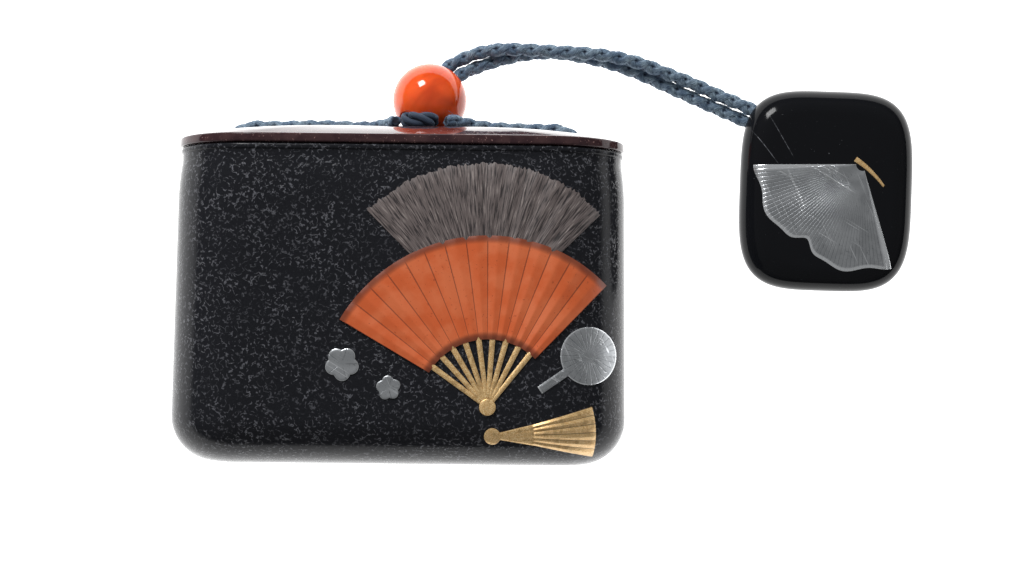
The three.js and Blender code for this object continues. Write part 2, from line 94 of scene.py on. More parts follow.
class Shader:
    """A new material with its Principled node and shorthand for the nodes that feed it."""

    def __init__(self, name: str) -> None:
        """Starts the material.

        Args:
            name: The material's name.
        """
        self.material = bpy.data.materials.new(name)
        self.material.use_nodes = True
        self.tree = self.material.node_tree
        self.surface = self.tree.nodes["Principled BSDF"]

    def add(self, kind: str, inputs: dict | None = None, **settings: object) -> bpy.types.Node:
        """Adds a node with its settings and links.

        Args:
            kind: The node's type without its ShaderNode prefix.
            inputs: Values or output sockets by input name or number.
            **settings: The node's own properties.

        Returns:
            The node.
        """
        made = self.tree.nodes.new("ShaderNode" + kind)
        for name, value in settings.items():
            setattr(made, name, value)
        for key, value in (inputs or {}).items():
            if isinstance(value, bpy.types.NodeSocket):
                self.tree.links.new(value, made.inputs[key])
            else:
                made.inputs[key].default_value = value
        return made

    def feed(self, **values: object) -> None:
        """Sets or links the surface's inputs.

        Args:
            **values: Values or sockets by input name, with _ for a space.
        """
        for name, value in values.items():
            socket = self.surface.inputs[name.replace("_", " ")]
            if isinstance(value, bpy.types.NodeSocket):
                self.tree.links.new(value, socket)
            else:
                socket.default_value = value

    def place(self, stretch: Sequence[float] = (1, 1, 1), turn: float = 0.0) -> bpy.types.NodeSocket:
        """The place on the object in millimetres, stretched and turned about Z.

        Args:
            stretch: Factors along X, Y and Z after the turn.
            turn: The turn in degrees.

        Returns:
            The place as a vector socket.
        """
        at = self.add("TexCoord").outputs["Object"]
        if turn:
            at = self.add("VectorRotate", {"Vector": at, "Angle": math.radians(turn)},
                          rotation_type="Z_AXIS").outputs[0]
        scale = [factor / MM for factor in stretch]
        return self.add("VectorMath", {0: at, 1: scale}, operation="MULTIPLY").outputs[0]

    def noise(self, at: bpy.types.NodeSocket, scale: float, detail: float = 2.0,
              distortion: float = 0.0) -> bpy.types.NodeSocket:
        """Soft noise between 0 and 1.

        Args:
            at: Where it is read.
            scale: Features per unit of at.
            detail: How many finer layers it has.
            distortion: How much it is stirred.

        Returns:
            The noise's value.
        """
        inputs = {"Vector": at, "Scale": scale, "Detail": detail, "Distortion": distortion}
        return self.add("TexNoise", inputs).outputs[0]

    def math(self, operation: str, a: object, b: object = 0.0) -> bpy.types.NodeSocket:
        """A calculation with two values.

        Args:
            operation: The Math node's operation.
            a: The first value or socket.
            b: The second value or socket.

        Returns:
            The result.
        """
        return self.add("Math", {0: a, 1: b}, operation=operation).outputs[0]

    def ramp(self, value: object, low: float, high: float, start: float = 0.0,
             end: float = 1.0) -> bpy.types.NodeSocket:
        """Spreads a value between two limits smoothly over a new range.

        Args:
            value: The value's socket.
            low: The value that gives start.
            high: The value that gives end.
            start: The result at low.
            end: The result at high.

        Returns:
            The spread value.
        """
        inputs = {0: value, 1: low, 2: high, 3: start, 4: end}
        return self.add("MapRange", inputs, interpolation_type="SMOOTHSTEP").outputs[0]

    def mix(self, factor: object, first: object, second: object) -> bpy.types.NodeSocket:
        """Blends two colours.

        Args:
            factor: The second colour's share.
            first: A colour socket, or sRGB as #rrggbb.
            second: A colour socket, or sRGB as #rrggbb.

        Returns:
            The blended colour.
        """
        made = self.add("Mix", data_type="RGBA")
        for index, value in ((0, factor), (6, first), (7, second)):
            if isinstance(value, bpy.types.NodeSocket):
                self.tree.links.new(value, made.inputs[index])
            else:
                made.inputs[index].default_value = linear(value) if isinstance(value, str) else value
        return made.outputs[2]

    def ridges(self, noise: bpy.types.NodeSocket, width: float) -> bpy.types.NodeSocket:
        """Thin curling lines where a noise passes its middle.

        Args:
            noise: The noise's value.
            width: The lines' half width in the noise's value.

        Returns:
            1 on the lines and 0 between them.
        """
        away = self.math("ABSOLUTE", self.math("SUBTRACT", noise, 0.5))
        return self.ramp(away, 0.0, width, 1.0, 0.0)

    def scratches(self, turn: float, amount: float) -> bpy.types.NodeSocket:
        """Long fine scratches in one direction.

        Args:
            turn: Their direction in degrees.
            amount: The share of the surface that they may cover, up to about 0.1.

        Returns:
            1 in the scratches and 0 between them.
        """
        fine = self.noise(self.place((0.035, 3.2, 1.0), turn), 1.0, 1.0)
        spread = self.noise(self.place((0.12, 0.4, 0.2), turn), 1.0, 1.0)
        line = self.ramp(fine, 0.70 - amount, 0.74 - amount)
        return self.math("MULTIPLY", line, self.ramp(spread, 0.5, 0.62))

    def hairline(self, line: Sequence[float], width: float) -> bpy.types.NodeSocket:
        """One straight hairline scratch, faint at its ends and broken on its way.

        Args:
            line: Its start's and its end's x and y in millimetres.
            width: Its half width in millimetres.

        Returns:
            1 in the scratch and 0 beside it.
        """
        x1, y1, x2, y2 = line
        half = math.hypot(x2 - x1, y2 - y1) / 2
        moved = self.add("VectorMath", {0: self.place(), 1: ((x1 + x2) / 2, (y1 + y2) / 2, 0.0)},
                         operation="SUBTRACT").outputs[0]
        turned = self.add("VectorRotate", {"Vector": moved, "Angle": -math.atan2(y2 - y1, x2 - x1)},
                          rotation_type="Z_AXIS").outputs[0]
        parts = self.add("SeparateXYZ", {0: turned}).outputs
        within = self.ramp(self.math("ABSOLUTE", parts[0]), 0.5 * half, half, 1.0, 0.0)
        beside = self.ramp(self.math("ABSOLUTE", parts[1]), 0.3 * width, width, 1.0, 0.0)
        broken = self.ramp(self.noise(self.place(), 0.9, 2.0), 0.40, 0.55, 0.25, 1.0)
        return self.math("MULTIPLY", self.math("MULTIPLY", within, beside), broken)

    def share(self) -> tuple[bpy.types.NodeSocket, bpy.types.NodeSocket]:
        """A plate's own shares: across or around it, and from its start or middle to its edge.

        Returns:
            The two shares.
        """
        uv = self.add("UVMap", uv_map="share").outputs[0]
        parts = self.add("SeparateXYZ", {0: uv})
        return parts.outputs[0], parts.outputs[1]

    def lines(self, value: bpy.types.NodeSocket, count: float, width: float) -> bpy.types.NodeSocket:
        """Evenly spaced lines over a share.

        Args:
            value: The share that they divide.
            count: How many there are.
            width: A line's half width as a share of the spacing.

        Returns:
            1 on the lines and 0 between them.
        """
        fraction = self.math("FRACT", self.math("MULTIPLY", value, count))
        away = self.math("ABSOLUTE", self.math("SUBTRACT", fraction, 0.5))
        return self.ramp(away, 0.5 - width, 0.5)

    def rim(self, across: bpy.types.NodeSocket, along: bpy.types.NodeSocket, width: float,
            closed: bool) -> bpy.types.NodeSocket:
        """The edge of a plate.

        Args:
            across: The plate's first share.
            along: The plate's second share.
            width: The rim's width as a share of the plate.
            closed: True for a plate whose first share runs round it.

        Returns:
            1 at the edge and 0 inside it.
        """
        outer = self.ramp(along, 1 - 2 * width, 1 - width)
        if closed:
            return outer
        aside = self.math("ABSOLUTE", self.math("SUBTRACT", across, 0.5))
        return self.math("MAXIMUM", outer, self.ramp(aside, 0.5 - 2 * width, 0.5 - width))

    def bump(self, height: bpy.types.NodeSocket, depth: float) -> None:
        """Roughens the surface.

        Args:
            height: The relief between 0 and 1.
            depth: Its full height in millimetres.
        """
        made = self.add("Bump", {"Height": height, "Distance": depth * MM, "Strength": 1.0})
        for name in ("Normal", "Coat Normal"):
            self.tree.links.new(made.outputs[0], self.surface.inputs[name])


@dataclass(frozen=True)
class TexturedLacquer:
    """Black lacquer stippled over a ground coat; fine broken wrinkles stand up in patches, and their ridges
    carry a painted grey highlight.
    """

    base: str = "#191a1e"
    wrinkle_highlight: str = "#64656b"
    cloud: str = "#222327"
    wrinkles_per_mm: float = 0.82
    wrinkle_height: float = 0.035

    def make(self) -> bpy.types.Material:
        """Builds the material.

        Returns:
            The material.
        """
        shader = Shader("stippled_black_lacquer")
        at = shader.place()
        wrinkle = shader.ridges(shader.noise(at, self.wrinkles_per_mm, 2.0, 0.5), 0.055)
        broken = shader.ramp(shader.noise(at, self.wrinkles_per_mm * 1.7, 1.0), 0.44, 0.60)
        patches = shader.ramp(shader.noise(at, 0.16, 4.0), 0.38, 0.62, 0.4, 1.0)
        # painted highlight: the wrinkles' ridges are coloured grey in patches; the same mask raises them in
        # the bump
        wrinkle_relief_and_highlight = shader.math("MULTIPLY", shader.math("MULTIPLY", wrinkle, broken), patches)
        grain = shader.noise(at, 5.0, 2.0)
        base = shader.mix(shader.ramp(grain, 0.3, 0.8), self.base, self.cloud)
        shader.feed(Base_Color=shader.mix(wrinkle_relief_and_highlight, base, self.wrinkle_highlight), IOR=1.2,
                    Roughness=shader.ramp(grain, 0.3, 0.7, 0.12, 0.22))
        shader.bump(shader.math("ADD", wrinkle_relief_and_highlight, shader.math("MULTIPLY", grain, 0.25)), self.wrinkle_height)
        return shader.material


@dataclass(frozen=True)
class PolishedLacquer:
    """Lacquer rubbed to a mirror, with specks of dust and a few long hairlines in the shine."""

    name: str
    base: str
    speck: str
    specks: float
    mottle: float = 0.0
    roughness: float = 0.07
    ior: float = 1.5
    hairlines: tuple[tuple[float, float, float, float], ...] = ()

    def make(self) -> bpy.types.Material:
        """Builds the material.

        Returns:
            The material.
        """
        shader = Shader(self.name)
        at = shader.place()
        dust = shader.ramp(shader.noise(at, 2.6, 3.0), 0.70 - self.specks, 0.76 - self.specks)
        cloud = shader.ramp(shader.noise(at, 0.35, 3.0), 0.35, 0.7, 0.0, self.mottle)
        marks = dust
        for line in self.hairlines:
            marks = shader.math("MAXIMUM", marks, shader.hairline(line, 0.09))
        base = shader.mix(cloud, self.base, self.speck)
        shader.feed(Base_Color=shader.mix(marks, base, self.speck), IOR=self.ior,
                    Roughness=shader.ramp(marks, 0.0, 1.0, self.roughness, 0.4))
        shader.bump(marks, 0.01)
        return shader.material


@dataclass(frozen=True)
class VermilionLacquer:
    """Cinnabar lacquer in raised work; the folds' valleys are dark and it is rubbed pale in broad clouds."""

    base: str = "#d3602e"
    deep: str = "#9c3f1c"
    pale: str = "#dc7040"
    valley: str = "#4a1e12"
    folds: int = 14

    def make(self) -> bpy.types.Material:
        """Builds the material.

        Returns:
            The material.
        """
        shader = Shader("vermilion_lacquer")
        at = shader.place()
        across, along = shader.share()
        cloud = shader.ramp(shader.noise(at, 0.22, 4.0), 0.35, 0.65)
        colour = shader.mix(cloud, self.base, self.pale)
        pits = shader.ramp(shader.noise(at, 1.8, 2.0), 0.66, 0.72)
        colour = shader.mix(shader.math("MULTIPLY", pits, 0.5), colour, self.deep)
        valleys = shader.lines(across, self.folds, 0.05)
        hem = shader.lines(shader.ramp(along, 0.0, 1.0), 1.0, 0.02)
        colour = shader.mix(shader.math("MULTIPLY", shader.math("MAXIMUM", valleys, hem), 0.75),
                            colour, self.valley)
        shader.feed(Base_Color=colour, IOR=1.5, Roughness=shader.ramp(cloud, 0.0, 1.0, 0.34, 0.46))
        shader.bump(shader.noise(at, 3.0, 3.0), 0.012)
        return shader.material


@dataclass(frozen=True)
class GoldLacquer:
    """Gold powder dusted on wet lacquer; its grain glitters and it has rubbed thin to the ground."""

    light: str = "#f9dca6"
    dark: str = "#d3a261"
    ground: str = "#94703f"
    groove: str = "#38230f"
    folds: float = 0.0

    def make(self) -> bpy.types.Material:
        """Builds the material.

        Returns:
            The material.
        """
        shader = Shader("gold_powder_lacquer")
        at = shader.place()
        across, _ = shader.share()
        grain = shader.noise(at, 6.0, 3.0)
        wear_and_highlight = shader.ramp(shader.noise(at, 0.7, 4.0), 0.48, 0.66)
        colour = shader.mix(shader.ramp(grain, 0.35, 0.65), self.dark, self.light)
        colour = shader.mix(shader.math("MULTIPLY", wear_and_highlight, 0.45), colour, self.ground)
        if self.folds:
            cuts = shader.math("MAXIMUM", shader.lines(across, self.folds, 0.10),
                               shader.math("MULTIPLY", shader.lines(across, self.folds * 5, 0.16), 0.5))
            colour = shader.mix(shader.math("MULTIPLY", cuts, 0.7), colour, self.groove)
        shader.feed(Base_Color=colour, Metallic=0.45, Roughness=shader.ramp(grain, 0.3, 0.7, 0.28, 0.5))
        shader.bump(grain, 0.02)
        return shader.material


@dataclass(frozen=True)
class CombedLacquer:
    """Grey-brown lacquer combed while soft; close ragged furrows run along the fan's ribs."""

    base: str = "#665c5a"
    dark: str = "#2d2728"
    pale: str = "#948a86"
    furrows: float = 150.0

    def make(self) -> bpy.types.Material:
        """Builds the material.

        Returns:
            The material.
        """
        shader = Shader("combed_charcoal_lacquer")
        across, along = shader.share()
        streak = shader.add("CombineXYZ", {
            0: shader.math("MULTIPLY", across, self.furrows), 1: shader.math("MULTIPLY", along, 5.0),
        }).outputs[0]
        comb = shader.noise(streak, 1.0, 3.0, 0.2)
        colour = shader.mix(shader.ramp(comb, 0.38, 0.52), self.dark, self.base)
        colour = shader.mix(shader.ramp(comb, 0.56, 0.72), colour, self.pale)
        shader.feed(Base_Color=colour, IOR=1.5, Roughness=0.5)
        shader.bump(comb, 0.12)
        return shader.material


@dataclass(frozen=True)
class Pewter:
    """Soft grey metal let into the lacquer, engraved, dull with age and rubbed bright at its rim."""

    name: str
    veins: float
    vein_width: float = 0.12
    closed: bool = True
    base: str = "#96999c"
    clouded: str = "#a9acaf"
    bright: str = "#dcdfe2"
    dark: str = "#4a4e53"

    def make(self) -> bpy.types.Material:
        """Builds the material.

        Returns:
            The material.
        """
        shader = Shader(self.name)
        at = shader.place()
        across, along = shader.share()
        cloud = shader.ramp(shader.noise(at, 0.28, 5.0, 0.4), 0.35, 0.68)
        colour = shader.mix(cloud, self.base, self.clouded)
        pits = shader.ramp(shader.noise(at, 3.5, 2.0), 0.62, 0.70)
        colour = shader.mix(shader.math("MULTIPLY", pits, 0.5), colour, self.dark)
        cuts = shader.lines(across, self.veins, self.vein_width)
        cuts = shader.math("MULTIPLY", cuts, shader.ramp(along, 0.12, 0.3))
        colour = shader.mix(shader.math("MULTIPLY", cuts, 0.45), colour, self.dark)
        rub = shader.math("MAXIMUM", shader.scratches(31.0, 0.07), shader.scratches(64.0, 0.06))
        rim = shader.rim(across, along, 0.022, self.closed)
        shine = shader.math("MAXIMUM", rim, shader.math("MULTIPLY", rub, 0.7))
        shader.feed(Base_Color=shader.mix(shine, colour, self.bright), Metallic=0.8,
                    Roughness=shader.ramp(shine, 0.0, 1.0, 0.42, 0.25))
        shader.bump(shader.math("SUBTRACT", shader.math("MULTIPLY", rim, 0.5), cuts), 0.03)
        return shader.material


@dataclass(frozen=True)
class CoralStone:
    """Polished orange-red stone; light sinks into it, and darker veins drift through the body."""

    base: str = "#f25e28"
    deep: str = "#d0481c"
    pale: str = "#f58352"

    def make(self) -> bpy.types.Material:
        """Builds the material.

        Returns:
            The material.
        """
        shader = Shader("polished_coral_stone")
        drift = shader.noise(shader.place((1.0, 0.6, 0.8), 35.0), 0.11, 3.0, 0.6)
        colour = shader.mix(shader.ramp(drift, 0.42, 0.66), self.base, self.deep)
        colour = shader.mix(shader.ramp(drift, 0.40, 0.28), colour, self.pale)
        shader.feed(Base_Color=colour, IOR=1.38, Roughness=0.06, Subsurface_Weight=0.35,
                    Subsurface_Radius=(1.0, 0.25, 0.08), Subsurface_Scale=1.2 * MM, Coat_Weight=0.15,
                    Coat_Roughness=0.04)
        return shader.material


@dataclass(frozen=True)
class BraidedSilk:
    """Indigo silk in a round braid; the gaps between the yarns carry painted navy shade and the crests a
    painted blue-grey highlight.
    """

    name: str = "indigo_silk_braid"
    crest: str = "#8ea3b2"
    wear_and_highlight: str = "#607890"
    middle: str = "#34475e"
    gap_shade: str = "#0f1528"
    sheen: str = "#9fb4c4"

    def make(self) -> bpy.types.Material:
        """Builds the material.

        Returns:
            The material.
        """
        shader = Shader(self.name)
        height = shader.add("Attribute", attribute_name="crest").outputs["Fac"]
        across, along = shader.share()
        twist = shader.add("CombineXYZ", {
            0: shader.math("MULTIPLY", across, 18.0), 1: shader.math("MULTIPLY", along, 0.9),
        }).outputs[0]
        fibre = shader.noise(twist, 1.6, 3.0)
        drift = shader.ramp(shader.noise(shader.place(), 0.35, 2.0), 0.38, 0.64)
        # painted highlight colour for the crests, in two blue-grey tones that drift at random along the cord
        crest = shader.mix(drift, self.crest, self.wear_and_highlight)
        # painted shade: the colour sinks to navy where the braid is low, in the gaps between the yarns
        colour = shader.mix(shader.ramp(height, 0.2, 0.7), self.gap_shade, self.middle)
        # painted highlight: the crests take the pale colour, broken up by the fibres
        colour = shader.mix(shader.math("MULTIPLY", shader.ramp(height, 0.45, 0.95),
                                        shader.ramp(fibre, 0.40, 0.60, 0.1, 1.0)), colour, crest)
        shader.feed(Base_Color=colour, Roughness=0.72, Sheen_Weight=0.35, Sheen_Roughness=0.4,
                    Sheen_Tint=linear(self.sheen))
        shader.bump(fibre, 0.10)
        return shader.material


@dataclass(frozen=True)
class Mesh:
    """Points in millimetres, faces by point number and each point's two shares."""

    points: Grid
    faces: list[tuple[int, ...]]
    shares: Grid

    def __add__(self, other: "Mesh") -> "Mesh":
        """Joins two meshes as they are.

        Args:
            other: The mesh to add.

        Returns:
            Both in one.
        """
        start = len(self.points)
        faces = self.faces + [tuple(i + start for i in face) for face in other.faces]
        return Mesh(np.vstack([self.points, other.points]), faces, np.vstack([self.shares, other.shares]))


def add_piece(name: str, mesh: Mesh, material: bpy.types.Material, slot: Slot,
              replaces: Sequence[str] = (), sharp: float = 40.0,
              crest: Grid | None = None) -> bpy.types.Object:
    """Adds a piece that rides on the part.

    Args:
        name: The piece's name.
        mesh: Its shape.
        material: Its finish.
        slot: The record's slot for that finish; not used.
        replaces: The solids that it stands for.
        sharp: Edges that turn more than this many degrees stay sharp.
        crest: Each point's height in a braid, from 0 to 1, which sets its painted shade and highlight.

    Returns:
        The piece.
    """
    data = bpy.data.meshes.new(name)
    data.from_pydata((mesh.points * MM).tolist(), [], mesh.faces)
    layer = data.uv_layers.new(name="share")
    used = np.empty(len(data.loops), dtype=np.int32)
    data.loops.foreach_get("vertex_index", used)
    layer.data.foreach_set("uv", mesh.shares[used].astype(np.float32).ravel())
    if crest is not None:
        data.attributes.new("crest", "FLOAT", "POINT").data.foreach_set("value", crest.astype(np.float32))
    data.materials.append(material)
    data.polygons.foreach_set("use_smooth", [True] * len(data.polygons))
    data.set_sharp_from_angle(angle=math.radians(sharp))
    data.validate()
    piece = bpy.data.objects.new(name, data)
    bpy.context.scene.collection.objects.link(piece)
    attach(piece, BODY)
    if replaces:
        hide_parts(*replaces)
    return piece


def loft(rings: Sequence[Grid]) -> Mesh:
    """Skins rings of points with equal counts and closes both ends.

    Args:
        rings: The rings, each as rows of x, y and z, turning the same way.

    Returns:
        The skin, with shares round and along it.
    """
    count = len(rings[0])
    points = list(np.vstack(rings))
    shares = [(j / count, i / (len(rings) - 1)) for i in range(len(rings)) for j in range(count)]
    faces = []
    for i in range(len(rings) - 1):
        for j in range(count):
            a, b = i * count + j, i * count + (j + 1) % count
            faces.append((a, b, b + count, a + count))
    for start, end in ((0, False), ((len(rings) - 1) * count, True)):
        points.append(np.mean(points[start:start + count], axis=0))
        shares.append((0.5, float(end)))
        for j in range(count):
            a, b = start + j, start + (j + 1) % count
            faces.append((a, b, len(points) - 1) if end else (b, a, len(points) - 1))
    return outward(Mesh(np.array(points), faces, np.array(shares)))


def outward(mesh: Mesh) -> Mesh:
    """Turns a closed skin's faces outwards.

    Args:
        mesh: The skin.

    Returns:
        The skin with its outside out.
    """
    volume = 0.0
    for face in mesh.faces:
        a, b, c = (mesh.points[i] for i in face[:3])
        volume += float(np.dot(a, np.cross(b, c)))
        if len(face) == 4:
            volume += float(np.dot(a, np.cross(c, mesh.points[face[3]])))
    faces = mesh.faces if volume > 0 else [face[::-1] for face in mesh.faces]
    return Mesh(mesh.points, faces, mesh.shares)


def patch(place: Callable[[Grid, Grid], tuple[Grid, Grid]], across: int, along: int,
          top: Callable[[Grid, Grid, Grid, Grid], Grid], bottom: Surface) -> Mesh:
    """A four-sided plate between two surfaces.

    Args:
        place: Turns shares of the plate into x and y.
        across: Its steps across.
        along: Its steps along.
        top: The upper surface's height from x, y and the two shares.
        bottom: The lower surface's height from x and y.

    Returns:
        The plate, with its own shares.
    """
    u, v = np.meshgrid(np.linspace(0, 1, across + 1), np.linspace(0, 1, along + 1))
    u, v = u.ravel(), v.ravel()
    x, y = place(u, v)
    upper = np.column_stack([x, y, top(x, y, u, v)])
    lower = np.column_stack([x, y, bottom(x, y)])
    columns, layer = across + 1, len(u)
    edge = list(range(columns))
    edge += [i * columns + across for i in range(1, along + 1)]
    edge += [along * columns + j for j in range(across - 1, -1, -1)]
    edge += [i * columns for i in range(along - 1, 0, -1)]
    faces = []
    for i in range(along):
        for j in range(across):
            a = i * columns + j
            faces.append((a, a + 1, a + 1 + columns, a + columns))
            faces.append((layer + a, layer + a + columns, layer + a + 1 + columns, layer + a + 1))
    for a, b in zip(edge, edge[1:] + edge[:1]):
        faces.append((a, layer + a, layer + b, b))
    shares = np.column_stack([u, v])
    return outward(Mesh(np.vstack([upper, lower]), faces, np.vstack([shares, shares])))


def polar(x: float, y: float, angle: Grid, radius: Grid) -> tuple[Grid, Grid]:
    """Points round a centre.

    Args:
        x: The centre's x.
        y: The centre's y.
        angle: Headings in degrees.
        radius: Distances.

    Returns:
        The points' x and y.
    """
    return x + radius * np.cos(np.radians(angle)), y + radius * np.sin(np.radians(angle))


def disc(x: float, y: float, edge: Callable[[Grid], Grid], surface: Surface, proud: Callable[[Grid], Grid],
         depth: float, steps: int = 90) -> Mesh:
    """A round or waving plate in a surface.

    Args:
        x: The centre's x.
        y: The centre's y.
        edge: The radius at each heading in degrees.
        surface: The height of the surface that it lies in.
        proud: How far it stands out at each share of its radius.
        depth: How far it reaches in.
        steps: Its points round the edge.

    Returns:
        The plate, with shares round it and out to its edge.
    """
    angle = np.arange(steps) * 360 / steps
    radii = [0.05, 0.2, 0.35, 0.5, 0.65, 0.8, 0.9, 0.96, 1.0]
    rings, along = [], []
    for share in radii:
        px, py = polar(x, y, angle, share * edge(angle))
        rings.append(np.column_stack([px, py, surface(px, py) + proud(np.full(steps, share))]))
        along.append(share)
    px, py = polar(x, y, angle, edge(angle))
    rings.append(np.column_stack([px, py, surface(px, py) - depth]))
    along.append(1.0)
    made = loft(rings)
    shares = made.shares.copy()
    for i, share in enumerate(along):
        shares[i * steps:(i + 1) * steps, 1] = share
    return Mesh(made.points, made.faces, shares)


def bore(piece: bpy.types.Object, start: Vector, end: Vector, radius: float) -> None:
    """Drills a round hole through a piece.

    Args:
        piece: The piece.
        start: One end of the hole, in millimetres.
        end: Its other end.
        radius: Its radius in millimetres.
    """
    axis = (end - start).normalized()
    side = axis.orthogonal().normalized()
    other = axis.cross(side)
    rings = [
        np.array([centre + (side * math.cos(a) + other * math.sin(a)) * radius
                  for a in np.linspace(0, 2 * math.pi, 40, endpoint=False)])
        for centre in (start, end)
    ]
    tool_mesh = loft(rings)
    data = bpy.data.meshes.new("drill")
    data.from_pydata((tool_mesh.points * MM).tolist(), [], tool_mesh.faces)
    tool = bpy.data.objects.new("drill", data)
    bpy.context.scene.collection.objects.link(tool)
    cut = piece.modifiers.new("bore", "BOOLEAN")
    cut.operation = "DIFFERENCE"
    cut.solver = "EXACT"
    cut.object = tool
    shape = bpy.data.meshes.new_from_object(piece.evaluated_get(bpy.context.evaluated_depsgraph_get()))
    piece.modifiers.remove(cut)
    piece.data = shape
    bpy.data.objects.remove(tool)


@dataclass(frozen=True)
class Container:
    """The box's outside and inside, standing in its own frame, and how it lies on its back."""

    height: float = 62.6
    foot_width: float = 91.0
    rim_width: float = 89.8
    foot_depth: float = 39.4
    rim_depth: float = 35.4
    corner_radius: float = 16.5
    foot_round_height: float = 9.4
    foot_round_side: float = 9.4
    foot_round_depth: float = 14.5
    wall: float = 2.4
    lip_height: float = 1.1
    lip_inset: float = 0.3
    neck_height: float = 1.5
    neck_inset: float = 0.6
    neck_flare: float = 8.0
    back_centre: float = 32.0

    @property
    def lean(self) -> float:
        """The slope of the front and the back, in radians."""
        return math.atan((self.foot_depth - self.rim_depth) / 2 / self.height)

    def laid(self, points: Grid) -> Grid:
        """Turns points of the standing box into the part's frame.

        Args:
            points: Rows of x, height and depth.

        Returns:
            The points with the box on its back.
        """
        x, up, out = points[:, 0], points[:, 1], points[:, 2]
        cos, sin = math.cos(self.lean), math.sin(self.lean)
        return np.column_stack([
            x, up * cos + out * sin - self.back_centre, out * cos - up * sin + self.foot_depth / 2 * cos,
        ])

    def laid_mesh(self, mesh: Mesh) -> Mesh:
        """Lays a mesh made on the standing front, given as x, height and depth.

        Args:
            mesh: The mesh.

        Returns:
            The mesh in the part's frame.
        """
        return Mesh(self.laid(mesh.points), mesh.faces, mesh.shares)

    def neck(self, height: Grid) -> Grid:
        """How far the neck stands in from the even slope.

        Args:
            height: Heights above the foot.

        Returns:
            The insets.
        """
        left = (self.height - self.lip_height - self.neck_height - height) / self.neck_flare
        return self.neck_inset * (1 - np.clip(left, 0, 1)) ** 2

    def section(self, height: Grid, inwards: float = 0.0) -> tuple[Grid, Grid, Grid]:
        """Half width, half depth and corner radius at a height.

        Args:
            height: Heights above the foot.
            inwards: How far the whole skin is moved in.

        Returns:
            The three sizes.
        """
        share = height / self.height
        even = (self.foot_depth + (self.rim_depth - self.foot_depth) * share) / 2
        left = np.clip(1 - (height - inwards) / (self.foot_round_height - inwards), 0, 1)
        pull = 1 - np.sqrt(1 - left ** 2)
        half_width = (self.foot_width + (self.rim_width - self.foot_width) * share) / 2
        half_width = half_width - inwards - (self.foot_round_side - inwards) * pull
        half_depth = even - inwards - (self.foot_round_depth - inwards) * pull
        return half_width, half_depth, self.corner_radius * half_depth / even

    def ring(self, height: float, section: tuple[float, float, float], inwards: float = 0.0,
             corner: int = 40, flat: int = 36) -> Grid:
        """A section's outline.

        Args:
            height: Its height above the foot.
            section: Half width, half depth and corner radius.
            inwards: How far it is moved in.
            corner: Steps round each corner.
            flat: Steps along the front and the back.

        Returns:
            Rows of x, height and depth.
        """
        half_width, half_depth, radius = section
        radius = max(radius - inwards, 0.2)
        flat_x, flat_z = half_width - inwards - radius, half_depth - inwards - radius
        rows = []
        for quarter, (sx, sz) in enumerate(((1, 1), (-1, 1), (-1, -1), (1, -1))):
            for angle in np.linspace(quarter, quarter + 1, corner + 1) * math.pi / 2:
                rows.append((sx * flat_x + radius * math.cos(angle), height,
                             sz * flat_z + radius * math.sin(angle)))
            if sx == sz:
                for share in np.linspace(1, -1, flat + 1)[1:-1]:
                    rows.append((sx * flat_x * share, height, sz * (flat_z + radius)))
        return np.array(rows)

    def front(self, x: Grid, height: Grid) -> Grid:
        """The front's distance from the middle plane.

        Args:
            x: Places across.
            height: Heights above the foot.

        Returns:
            The distances.
        """
        half_width, half_depth, radius = self.section(height)
        over = np.maximum(np.abs(x) - (half_width - radius), 0)
        return half_depth - self.neck(height) - radius + np.sqrt(np.maximum(radius ** 2 - over ** 2, 0))

    def foot_heights(self, inwards: float, steps: int = 16) -> list[float]:
        """Heights of the rings round the foot.

        Args:
            inwards: How far the skin is moved in.
            steps: How many there are.

        Returns:
            The heights.
        """
        rise = self.foot_round_height - inwards
        return [inwards + rise * (1 - math.cos(a)) for a in np.linspace(0, math.pi / 2, steps + 1)]

    def shell(self) -> Mesh:
        """The box from the middle of its foot, over its rim and down to its floor.

        Returns:
            The closed skin in the part's frame.
        """
        neck_top = self.height - self.lip_height
        neck_foot = neck_top - self.neck_height
        flare = neck_foot - self.neck_flare
        heights = self.foot_heights(0.0) + list(np.linspace(self.foot_round_height, flare, 12)[1:])
        heights += list(np.linspace(flare, neck_foot, 9)[1:])
        rings = [self.ring(h, self.section(h), float(self.neck(h))) for h in heights]
        profile = [(neck_top - 0.15, self.neck_inset), (neck_top, self.neck_inset - 0.05)]
        for angle in np.linspace(-80, 80, 9):
            turn = math.radians(angle)
            middle = neck_top + self.lip_height / 2
            profile.append((middle + self.lip_height / 2 * math.sin(turn),
                            self.neck_inset - (self.neck_inset - self.lip_inset) * math.cos(turn)))
        rings += [self.ring(h, self.section(h), inset) for h, inset in profile]
        inner = [self.height - 0.1, neck_foot] + list(np.linspace(flare, self.foot_round_height, 6))
        for h in inner:
            rings.append(self.ring(h, self.section(h, self.wall), float(self.neck(min(h, neck_foot)))))
        for h in self.foot_heights(self.wall)[-2::-1]:
            rings.append(self.ring(h, self.section(h, self.wall)))
        return self.laid_mesh(loft(rings))

    def build(self) -> None:
        """Adds the box in its stippled black lacquer."""
        add_piece("container_shell", self.shell(), TexturedLacquer().make(), Slot.BLACK, ("container_body",))
        LOG.info("built the box")


